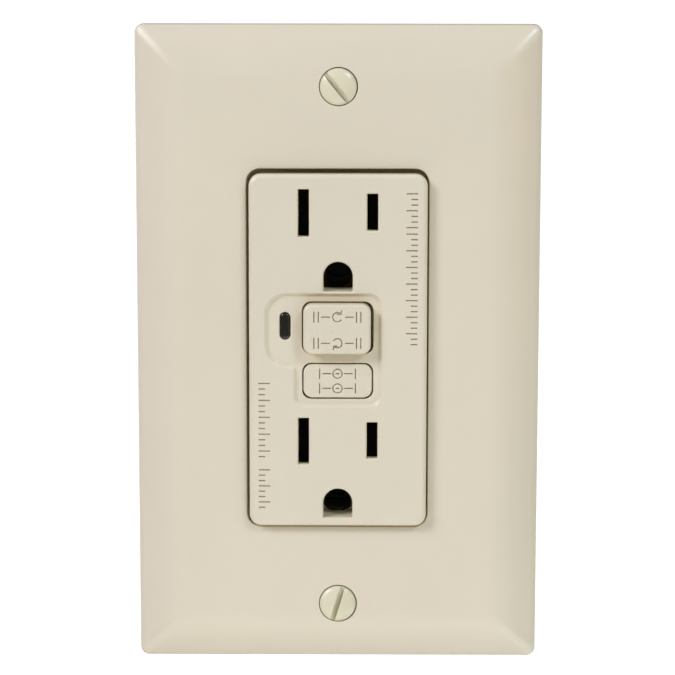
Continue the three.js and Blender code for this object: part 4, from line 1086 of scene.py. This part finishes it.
def separator_tray():
    """A floor with a rim all round that reaches across the seams to the housings on either side."""
    floor_front, floor_back = SEPARATOR_FLOOR
    seam_front = extent("front_cover")[1].y + HAIR
    seam_back = extent("back_housing")[0].y - HAIR
    outline = rounded(0, 0, BODY["half_w"], BODY["half_h"], BODY["corner"])
    sections = [*front_edge(seam_front, 0.12, 2), *back_edge(seam_back, 0.12, 2)]
    tray = mesh_object("separator-model", slab(outline, sections))
    within = rounded(0, 0, BODY["half_w"] - SEPARATOR_RIM, BODY["half_h"] - SEPARATOR_RIM, 0.8)
    for start, end in ((seam_front - PAST, floor_front), (floor_back, seam_back + PAST)):
        combine(tray, slab(within, [(0, start), (0, end)]))
    return tray


def separator_posts(tray):
    """Adds the walls, posts, ground sockets and the shaft's guide that stand on the floor."""
    floor_front, floor_back = SEPARATOR_FLOOR
    root = floor_front + 0.2
    for zs in ((31.7, 33.8), (-33.8, -31.7)):
        combine(tray, block((-13.3, 13.3), (0.3, root), zs), "UNION")
    combine(tray, block((-5.8, 5.8), (0, 1.5), (-33, -31)))
    for z in (16, -25.5):
        for xs in ((9.2, 10.5), (-10.5, -9.2)):
            combine(tray, block(xs, (0.3, root), (z - 2.4, z + 2.4)), "UNION")
    combine(tray, block((14.7, 16.4), (2, root), (-7.4, -3.8)), "UNION")
    combine(tray, block((14, 15.9), (3, 4.2), (-7.5, -3.7)))
    for z in GROUND_Z:
        combine(tray, moved(turned([(3.3, floor_back - 0.2), (3.3, 14.2), (3.1, 14.4)]), (0, 0, z)), "UNION")
        combine(tray, moved(turned([(2.75, floor_front - PAST), (2.75, 13.6)]), (0, 0, z)))
    guide = turned([(2, 8.6), (2.2, 8.8), (2.2, root)])
    combine(tray, moved(guide, (AXIS.x, 0, AXIS.z)), "UNION")
    combine(tray, moved(turned([(1.25, 7), (1.25, floor_back + PAST)]), (AXIS.x, 0, AXIS.z)))


def build_separator():
    """The middle housing: a rimmed floor, what stands on it, and the passages through it."""
    tray = separator_tray()
    separator_posts(tray)
    through = (SEPARATOR_FLOOR[0] - PAST, SEPARATOR_FLOOR[1] + PAST)
    for hand in (-1, 1):
        combine(tray, block(sorted((hand * 10.6, hand * 14.2)), through, (-0.3, 4.3)))
        combine(tray, block(sorted((hand * 17.5, hand * 22)), through, (-24.4, -13.6)))
    lens = centre("indicator_lens")
    combine(tray, block((lens.x - 0.6, lens.x + 0.6), through, (lens.z - 1.8, lens.z + 1.8)))
    holes = [moved(turned([(1.6, through[0]), (1.6, through[1])], 24), (x, 0, z)) for x, z in BODY_CORNERS]
    combine(tray, joined(*holes))
    stands_for(tray, FINISH["grey"], "separator")


def build_assembly_screws():
    """Four pan-head screws with a cross slot, driven from the back."""
    cross = [(-1.6, -0.3), (-0.3, -0.3), (-0.3, -1.6), (0.3, -1.6), (0.3, -0.3), (1.6, -0.3)]
    cross += [(-x, -z) for x, z in cross]
    for end, z in (("upper", 30), ("lower", -30)):
        for hand, x in (("left", -18), ("right", 18)):
            node = f"assembly_screw_{end}_{hand}"
            low, high = extent(node)
            head = [(0.9, 26.7), (1.1, 27.05), (2.55, 27.1), (2.7, 27.25)]
            head += [(r, y) for r, y in reversed(domed(2.7, 28, high.y, 6))]
            screw = mesh_object(f"{node}-model", turned(head, 32))
            combine(screw, threaded(1.3, low.y, 27.3, 1.1, 0.32), "UNION")
            cut = slab(cross, [(-0.08, 27.7), (0, 28.2), (0.1, 29.6)])
            combine(screw, cut)
            screw.data.transform(Matrix.Rotation(x * 0.05, 4, "Y"))
            screw.data.transform(Matrix.Translation(Vector((x, 0, z)) * MM))
            stands_for(screw, FINISH["zinc"], node)


# ---------------------------------------------------------------- terminals
TERMINAL_Y = 16.6  # how deep the terminal screws' axes lie


def terminal_screw(name):
    """A domed head with one slot, on a threaded shank, along +Y."""
    seat, top = 19.3, 21.55
    crown = reversed(domed(3.9, seat + 1.7, top, 6))
    screw = mesh_object(name, turned([(1.6, seat - 0.2), (3.7, seat), (3.9, seat + 0.2), *crown]))
    combine(screw, threaded(1.85, 10.9, seat + 0.4), "UNION")
    across = [(-5, -0.5), (5, -0.5), (5, 0.5), (-5, 0.5)]
    combine(screw, slab(across, [(0, top - 1.05), (0, top - 0.15), (0.1, top + PAST)]))
    return screw


def build_terminal_screws():
    """Brass screws on the hot side and nickel ones on the neutral side, each set at its own angle."""
    upright = ALONG_X.to_4x4() @ Matrix.Rotation(math.pi / 2, 4, "Y")
    for wire, z, turn in (("line", POCKET_Z, 0.5), ("load", -POCKET_Z, -0.9)):
        for hand, side in (("hot", 1), ("neutral", -1)):
            node = f"terminal_screw_{wire}_{hand}"
            screw = terminal_screw(f"{node}-model")
            mirror = Matrix.Scale(side, 4, (1, 0, 0))
            screw.data.transform(Matrix.Rotation(side * turn, 4, "X") @ mirror @ upright)
            if side < 0:
                screw.data.flip_normals()
            screw.data.transform(Matrix.Translation(Vector((0, TERMINAL_Y, z)) * MM))
            stands_for(screw, FINISH["brass" if hand == "hot" else "nickel"], node)


def build_clamp_plates():
    """Square plates, grooved so that they bite into the wire."""
    for wire in ("line", "load"):
        for hand, side in (("hot", 1), ("neutral", -1)):
            node = f"clamp_plate_{wire}_{hand}"
            low, high = extent(node)
            at = centre(node)
            half_h, half_w = (high.z - low.z) / 2, (high.y - low.y) / 2
            x0, x1 = sorted((abs(low.x), abs(high.x)))
            outline = rounded(0, 0, half_w, half_h, 0.5, 4)
            sections = [*front_edge(x0, 0.12, 2), *back_edge(x1, 0.12, 2)]
            plate = mesh_object(f"{node}-model", slab(outline, sections))
            across, sunk = (-half_w - 1, half_w + 1), (x1 - 0.18, x1 + 1)
            grooves = [i * 1.05 for i in range(-4, 5) if abs(i) > 1]
            combine(plate, joined(*[block(across, sunk, (z - 0.2, z + 0.2)) for z in grooves]))
            combine(plate, turned([(2.05, x0 - PAST), (2.05, x1 + PAST)], 32))
            swap = Matrix(((0, side, 0, 0), (side, 0, 0, 0), (0, 0, 1, 0), (0, 0, 0, 1)))
            plate.data.transform(swap)
            outward(plate)
            plate.data.transform(Matrix.Translation(Vector((0, at.y, at.z)) * MM))
            stands_for(plate, FINISH["brass" if hand == "hot" else "nickel"], node)


# ---------------------------------------------------------------- toroids, coil and springs
CORE_BORE, CORE_R = 3.9, 8.2


def wound_ring(inner, outer, front, back, wire, turns):
    """A ring core with a layer of wire wound round its section, turn by turn."""
    core = turned([(inner + wire, front + 2 * wire), (outer - 2 * wire, front + 2 * wire),
                   (outer - 2 * wire, back - 2 * wire), (inner + wire, back - 2 * wire)], 48, closed=True)
    half_w, half_y = (outer - inner) / 2 - wire, (back - front) / 2 - wire
    middle, depth = (outer + inner) / 2, (front + back) / 2
    section = rounded(0, 0, half_w, half_y, 0.8, 3)
    parts = [core]
    for i in range(turns):
        a = 2 * math.pi * i / turns
        rings = []
        for k, (u, v) in enumerate(section):
            before, after = Vector(section[k - 1]), Vector(section[(k + 1) % len(section)])
            out = Vector((after.y - before.y, before.x - after.x)).normalized()
            ring = []
            for j in range(6):
                b = 2 * math.pi * j / 6
                r = middle + u + out.x * wire * math.cos(b)
                y = depth + v + out.y * wire * math.cos(b)
                skew = wire * math.sin(b)
                ring.append((r * math.cos(a) - skew * math.sin(a), y, r * math.sin(a) + skew * math.cos(a)))
            rings.append(ring)
        parts.append(loft(rings, closed=True))
    return joined(*parts)


def build_sense_transformer():
    """A core with its winding bare."""
    at = centre("sense_transformer")
    low, high = extent("sense_transformer")
    wound = wound_ring(CORE_BORE, CORE_R, low.y, high.y, 0.24, 84)
    piece = mesh_object("sense_transformer-model", moved(wound, (at.x, 0, at.z)))
    stands_for(piece, FINISH["wire"], "sense_transformer")


def build_neutral_transformer():
    """A core in a moulded case, potted at the front."""
    at = centre("sense_transformer")
    low, high = extent("neutral_transformer")
    shell = [(CORE_BORE, low.y + 0.3), (4.2, low.y), (7.7, low.y), (8.0, low.y + 0.15), (CORE_R, low.y + 0.5)]
    shell += [(CORE_R, high.y - 0.9), (8.05, high.y - 0.8), (8.05, high.y - 0.3)]
    shell += [(7.8, high.y), (4.2, high.y), (CORE_BORE, high.y - 0.3)]
    piece = mesh_object("neutral_transformer-model", moved(turned(shell, 64, closed=True), (at.x, 0, at.z)))
    potting = [(5, low.y - PAST), (7.1, low.y - PAST), (7.1, low.y + 0.3), (5, low.y + 0.3)]
    combine(piece, moved(turned(potting, 64, closed=True), (at.x, 0, at.z)))
    stands_for(piece, FINISH["epoxy"], "neutral_transformer")


def coil_winding(inner, outer, start, end, wire):
    """A layer of close turns, drawn as one scalloped ring."""
    count = round((end - start) / (2 * wire))
    pitch = (end - start) / count
    profile = [(inner, start), (outer - wire, start)]
    for i in range(count):
        middle = start + pitch * (i + 0.5)
        for a in sweep(-70, 70, 4):
            profile.append((outer - wire + wire * math.cos(a), middle + pitch / 2 * math.sin(a)))
    return turned([*profile, (outer - wire, end), (inner, end)], 48, closed=True)


def along_motor(part):
    """Sets a turned solid on the solenoid's axis: its +Y lands on +Z, so its profile is given in z."""
    return moved(part, (MOTOR.x, MOTOR.y, 0), ALONG_Z)


def build_winding():
    """The solenoid's coil."""
    low, high = extent("solenoid_winding")
    coil = mesh_object("solenoid_winding-model", along_motor(coil_winding(3.1, high.x, low.z, high.z, 0.14)))
    stands_for(coil, FINISH["wire"], "solenoid_winding")


def build_bobbin():
    """A spool whose lower flange is slotted for the coil's two leads."""
    low, high = extent("solenoid_bobbin")
    r, thick, ease = high.x, 0.8, 0.15
    rim = [(r - ease, 0), (r, ease), (r, thick - ease), (r - ease, thick)]
    spool = [(2.2, low.z + 0.2), (2.4, low.z), *[(x, low.z + z) for x, z in rim]]
    spool += [(3, low.z + thick), (2.9, low.z + 1), (2.9, high.z - 1), (3, high.z - thick)]
    spool += [*[(x, high.z - thick + z) for x, z in rim], (2.4, high.z), (2.2, high.z - 0.2)]
    bobbin = mesh_object("solenoid_bobbin-model", along_motor(turned(spool, 64, closed=True)))
    for x in (-1.6, 1.6):
        ys, zs = (MOTOR.y + 3.2, MOTOR.y + 6), (low.z - PAST, low.z + thick + 0.05)
        combine(bobbin, block((x - 0.25, x + 0.25), ys, zs))
    stands_for(bobbin, FINISH["nylon"], "solenoid_bobbin")


def build_plunger():
    """A turned plunger: a grooved body, a slim neck inside its spring, and a head over it."""
    low, high = extent("solenoid_plunger")
    shoulder, neck, r, neck_r, ease = -9.6, -4.9, 1.9, 1.0, 0.3
    core = [(0.2, low.z), (r - ease, low.z), (r - 0.1, low.z + 0.1), (r, low.z + ease)]
    core += [(r, -15), (r - 0.12, -14.85), (r - 0.12, -14.45), (r, -14.3)]
    core += [(r, shoulder - 0.1), (r - 0.1, shoulder), (neck_r + 0.15, shoulder + 0.2)]
    core += [(neck_r, shoulder + 0.35), (neck_r, neck), (r - 0.1, neck + 0.05), (r, neck + 0.15)]
    core += [(r, high.z - 0.4), (r - 0.25, high.z - 0.15), (neck_r, high.z - 0.03), (0.3, high.z)]
    plunger = mesh_object("solenoid_plunger-model", along_motor(turned(core)))
    stands_for(plunger, FINISH["zinc"], "solenoid_plunger")


def helix(r, wire, start, end, turns):
    """A compression spring along Y whose last turn at each end lies flat."""
    start, end = start + wire, end - wire
    flat = 2 * wire * 1.02
    steps = 20 * (turns + 2)
    path = []
    for i in range(steps + 1):
        t = i / steps * (turns + 2)
        if t < 1:
            y = start + flat * t
        elif t > turns + 1:
            y = end - flat * (turns + 2 - t)
        else:
            y = start + flat + (end - start - 2 * flat) * (t - 1) / turns
        path.append((r * math.cos(2 * math.pi * t), y, r * math.sin(2 * math.pi * t)))
    return tube(path, wire, 8)


def build_springs():
    """Coil springs for the plunger and the reset button, each on a mesh of its own."""
    low, high = extent("plunger_spring")
    spring = mesh_object("plunger_spring-model", along_motor(helix(1.55, 0.2, low.z, high.z, 3)))
    stands_for(spring, FINISH["zinc"], "plunger_spring")
    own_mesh(spring)

    low, high = extent("reset_spring")
    coil = moved(helix(1.75, 0.28, low.y, high.y, 5), (AXIS.x, 0, AXIS.z))
    spring = mesh_object("reset_spring-model", coil)
    stands_for(spring, FINISH["zinc"], "reset_spring")
    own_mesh(spring)


def build_reset_shaft():
    """A turned shaft with a knurled front, the latch's collar and a coned tip."""
    low, high = extent("reset_shaft")
    r = 1.1
    profile = [(0.3, low.y), (r - 0.15, low.y), (r, low.y + 0.15)]
    for i in range(7):
        y = low.y + 0.6 + 0.45 * i
        profile += [(r, y), (r - 0.12, y + 0.1), (r - 0.12, y + 0.25), (r, y + 0.35)]
    profile += [(r, 14.85), (1.6, 14.97), (1.7, 15.05), (1.7, 15.4), (r, 16)]
    profile += [(r, high.y - 0.5), (0.75, high.y - 0.04), (0.3, high.y)]
    shaft = mesh_object("reset_shaft-model", moved(turned(profile), (AXIS.x, 0, AXIS.z)))
    stands_for(shaft, FINISH["zinc"], "reset_shaft")


# ---------------------------------------------------------------- circuit board and its parts
BOARD_LOW, BOARD_HIGH = extent("circuit_board")


def lead(x, z, start, end, r=0.22):
    """A round wire lead along Y."""
    profile = [(r * 0.6, start), (r, start + 0.08), (r, end - 0.08), (r * 0.6, end)]
    return moved(turned(profile, 10), (x, 0, z))


def solder(x, z):
    """A solder fillet on the back of the board round one lead."""
    cone = [(0.62, -0.05), (0.6, 0.03), (0.38, 0.12), (0.25, 0.26), (0.1, 0.29)]
    return moved(turned([(r, BOARD_HIGH.y + rise) for r, rise in cone], 14), (x, 0, z))


def board_outline():
    """Broad at the waist and at both ends, narrow in between to leave room for the terminals."""
    arm, half, end_w, end_z = BOARD_HIGH.x, 8.5, 13.4, 27.2
    corner = [(half, 11), (half, end_z), (end_w, end_z), (end_w, BOARD_HIGH.z)]
    right = [(arm, -11), (arm, 11), *corner]
    outline = right + [(-x, z) for x, z in reversed(corner)] + [(-arm, 11), (-arm, -11)]
    outline += [(-x, -z) for x, z in corner] + [(x, -z) for x, z in reversed(corner)]
    return softened(outline, 0.5, 3)


def build_board():
    """The bare board, with a hole for the shaft and four small ones towards its ends."""
    sheet = [*front_edge(BOARD_LOW.y, 0.06, 2), *back_edge(BOARD_HIGH.y, 0.06, 2)]
    board = mesh_object("circuit_board-model", slab(board_outline(), sheet))
    through = (BOARD_LOW.y - PAST, BOARD_HIGH.y + PAST)
    holes = [moved(turned([(1.6, through[0]), (1.6, through[1])], 32), (AXIS.x, 0, AXIS.z))]
    for x, z in ((-6.9, 29.2), (6.9, 29.2), (-6.9, -29.2), (6.9, -29.2)):
        holes.append(moved(turned([(1.1, through[0]), (1.1, through[1])], 24), (x, 0, z)))
    combine(board, joined(*holes))
    stands_for(board, FINISH["board"], "circuit_board")


# where leads come through the board, in x and z
LEAD_POINTS = [(-16.2, -9.1), (-16.2, -4.1), (9.2, -7), (11.2, -7)]
LEAD_POINTS += [(16.2 + dx, -7) for dx in (-1.3, 0, 1.3)] + [(-10.2, -10.3), (-10.2, -2.5)]
LEAD_POINTS += [(hand * 1.8, z) for hand in (-1, 1) for z in (17.8, 19.4)]
LEAD_POINTS += [(hand * 12.4, 9.3) for hand in (-1, 1)] + [(AXIS.x - 9.13, z) for z in (3.5, 5.8)]
TRACKS = [
    [(-16.2, -4.1), (-16.2, 1), (-12.4, 5), (-12.4, 9.3)],
    [(-16.2, -9.1), (-12, -10.3), (-3.8, -10.3)],
    [(9.2, -7), (6, -8.5), (3.8, -9.6)],
    [(11.2, -7), (14.9, -7)],
    [(16.2, -7), (16.2, 3), (12.4, 6), (12.4, 9.3)],
    [(-1.8, 17.8), (-4, 14), (-4, -8.4)],
    [(1.8, 17.8), (4, 14), (4, -8.4)],
    [(-2.2, -15.3), (-2.2, -20), (-6, -24)],
    [(2.2, -15.3), (2.2, -20), (6, -24)],
]


def build_tracks():
    """Tinned tracks and solder joints on the back of the board."""
    skin = BOARD_HIGH.y
    tin = [solder(x, z) for x, z in LEAD_POINTS]
    tin += [slab(ribbon(path, 0.35), [(0, skin - 0.03), (-0.03, skin + 0.04)]) for path in TRACKS]
    attach(mesh_object("circuit_board-tracks", joined(*tin)), FINISH["nickel"], "circuit_board")


def build_varistor():
    """A lacquered disc on edge whose coating runs down the leads."""
    low, high = extent("varistor")
    at = centre("varistor")
    r, half = (high.z - low.z) / 2, (high.x - low.x) / 2
    middle = low.y + r
    rim = [(r - 0.75 + 0.75 * math.cos(a), half * math.sin(a)) for a in sweep(-90, 90, 10)]
    disc = moved(turned([(0.5, -half), *rim, (0.5, half)], 56), (at.x, middle, at.z), ALONG_X)
    coated = []
    for z in (-2.5, 2.5):
        run = [(0.3, middle + 2.6), (0.75, middle + 3), (0.6, high.y - 1.1), (0.35, high.y - 0.7)]
        coated.append(moved(turned(run, 16), (at.x, 0, at.z + z)))
        coated.append(lead(at.x, at.z + z, high.y - 1.2, high.y))
    stands_for(mesh_object("varistor-model", joined(disc, *coated)), FINISH["lacquer"], "varistor")


def build_thyristor():
    """A small D-shaped case with an ejector mark in its front and three leads."""
    low, high = extent("thyristor")
    case_x, case_z, r, back = 16.2, -7.0, 2.4, 20.4
    flat = math.degrees(math.asin(0.5))
    outline = [(case_x + x, case_z + z) for x, z in arc(0, 0, r, 180 - flat, 360 + flat, 32)]
    case = slab(softened(outline, 0.12, 2), [*front_edge(low.y, 0.15, 2), *back_edge(back, 0.1, 2)])
    piece = mesh_object("thyristor-model", case)
    combine(piece, moved(turned([(0.6, low.y - PAST), (0.6, low.y + 0.12)], 24), (case_x, 0, case_z - 0.5)))
    stands_for(piece, FINISH["epoxy"], "thyristor")
    legs = joined(*[lead(case_x + dx, case_z, back - 0.1, high.y) for dx in (-1.3, 0, 1.3)])
    attach(mesh_object("thyristor-legs", legs), FINISH["nickel"], "thyristor")


def build_capacitor():
    """An electrolytic can: scored vent at one end, a rolled groove and a rubber bung at the other."""
    low, high = extent("capacitor")
    at = centre("capacitor")
    r, back = 2.5, 21.8
    can = [(0.3, low.y + 0.1), (r - 0.5, low.y + 0.1), (r - 0.35, low.y), (r - 0.12, low.y + 0.08)]
    can += [(r, low.y + 0.35), (r, back - 1.6), (r - 0.22, back - 1.35), (r - 0.22, back - 1.15)]
    can += [(r, back - 0.9), (r, back - 0.2)]
    can += [(r - 0.15, back), (r - 0.4, back - 0.05), (r - 0.5, back - 0.25), (0.5, back - 0.25)]
    piece = mesh_object("capacitor-model", moved(turned(can), (at.x, 0, at.z)))
    for half_w, half_h in ((1.5, 0.09), (0.09, 1.5)):
        score = rounded(at.x, at.z, half_w, half_h, 0.05, 2)
        combine(piece, slab(score, [(0, low.y - PAST), (0, low.y + 0.2)]))
    stands_for(piece, FINISH["epoxy"], "capacitor")
    legs = joined(*[lead(at.x + dx, at.z, back - 0.4, high.y) for dx in (-1, 1)])
    attach(mesh_object("capacitor-legs", legs), FINISH["nickel"], "capacitor")


def chip_leg(x, z, side, middle, foot):
    """One gull-wing leg, from the package's middle out and down to the board."""
    run = [(1.9, middle + 0.08), (2.35, middle + 0.08), (2.6, foot + 0.16), (3.1, foot + 0.16)]
    run += [(3.1, foot), (2.48, foot), (2.25, middle - 0.08), (1.9, middle - 0.08)]
    return loft([[(x + u, y, z + side * out) for out, y in run] for u in (-0.2, 0.2)])


def build_chip():
    """An eight-legged surface-mount package with a pin-one dimple."""
    low, high = extent("control_chip")
    at = centre("control_chip")
    body_front, middle = low.y + 0.2, (low.y + 0.2 + high.y) / 2
    outline = rounded(at.x, at.z, 3, 2, 0.3, 3)
    sections = [(-0.12, body_front), (0, middle - 0.05), (0, middle + 0.05)]
    sections += [(-0.15, high.y - 0.02), (-0.2, high.y)]
    piece = mesh_object("control_chip-model", slab(outline, sections))
    dimple = turned([(0.3, high.y - 0.1), (0.34, high.y + PAST)], 20)
    combine(piece, moved(dimple, (at.x - 2.2, 0, at.z - 1.2)))
    stands_for(piece, FINISH["epoxy"], "control_chip")
    columns = (-2.2, -0.75, 0.75, 2.2)
    legs = [chip_leg(at.x + x, at.z, side, middle, low.y) for side in (-1, 1) for x in columns]
    attach(mesh_object("control_chip-legs", joined(*legs)), FINISH["nickel"], "control_chip")


def build_resistor():
    """A film resistor with bulging end caps and bent leads."""
    high = extent("test_resistor")[1]
    at = centre("test_resistor")
    half = [(0.95, 1.5), (1.02, 1.7), (1.2, 1.95), (1.25, 2.3), (1.22, 2.75), (1.05, 3.1), (0.7, 3.2)]
    body = turned([(0.35, -3.22), *[(r, -y) for r, y in reversed(half)], *half, (0.35, 3.22)], 40)
    place = (at.x, at.y, at.z)
    piece = mesh_object("test_resistor-model", moved(body, place, ALONG_Z))
    stands_for(piece, FINISH["resistor"], "test_resistor")
    legs = []
    for side in (-1, 1):
        end = side * (high.z - at.z - 0.3)
        bend = [(0, 0, side * 3.1), (0, 0, end * 0.93), (0, 0.25, end), (0, high.y - at.y, end)]
        legs.append(tube(bend, 0.28))
    attach(mesh_object("test_resistor-legs", moved(joined(*legs), place)), FINISH["nickel"], "test_resistor")


# ---------------------------------------------------------------- pieces in the CAD's own shape
CAD_SHAPED = {
    "brass": ["load_hot_bus", "load_neutral_bus", "line_hot_terminal", "line_neutral_terminal",
              "hot_contact_post", "neutral_contact_post"],
    "brass darkened for shade": ["ground_contact_upper", "ground_contact_lower"],
    # the ground contacts take the brass painted dark as shade
    "bronze": ["hot_contact_arm", "neutral_contact_arm", "test_leaf"],
    "zinc": ["solenoid_frame", "latch_slide"],
    "nylon": ["contact_carriage"],
}
STAMPED_EDGE = 0.08
SAME_POINT = 0.001
FLAT = math.radians(1)  # faces that meet at less than this are one face


def eased_copy(node):
    """A copy of a CAD node with its triangles joined and its corners eased, as stamping leaves them."""
    cad = frame["nodes"][node]
    made = bmesh.new()
    made.from_mesh(cad.data)
    made.transform(cad.matrix_world)
    bmesh.ops.remove_doubles(made, verts=made.verts, dist=SAME_POINT * MM)
    bmesh.ops.dissolve_limit(made, angle_limit=FLAT, verts=made.verts, edges=made.edges)
    mesh = bpy.data.meshes.new(f"{node}-model")
    made.to_mesh(mesh)
    made.free()
    if "custom_normal" in mesh.attributes:
        mesh.attributes.remove(mesh.attributes["custom_normal"])
    piece = bpy.data.objects.new(mesh.name, mesh)
    bpy.context.scene.collection.objects.link(piece)
    eased = piece.modifiers.new("eased", "BEVEL")
    eased.width = STAMPED_EDGE * MM
    eased.segments = 2
    eased.limit_method = "ANGLE"
    eased.angle_limit = math.radians(40)
    bake_modifiers(piece)
    return piece


def build_cad_shaped():
    """The stampings and mouldings that need no more than eased edges and their own finish."""
    for finish_name, nodes in CAD_SHAPED.items():
        for node in nodes:
            stands_for(eased_copy(node), FINISH[finish_name], node)


# ---------------------------------------------------------------- the whole outlet
build_wall_plate()
build_front_cover()
build_buttons()
build_indicator()
build_plate_screws()
build_box_screws()
build_washers()
build_strap()
build_ground_screw()
build_back_housing()
build_separator()
build_assembly_screws()
build_terminal_screws()
build_clamp_plates()
build_sense_transformer()
build_neutral_transformer()
build_winding()
build_bobbin()
build_plunger()
build_springs()
build_reset_shaft()
build_board()
build_tracks()
build_varistor()
build_thyristor()
build_capacitor()
build_chip()
build_resistor()
build_cad_shaped()
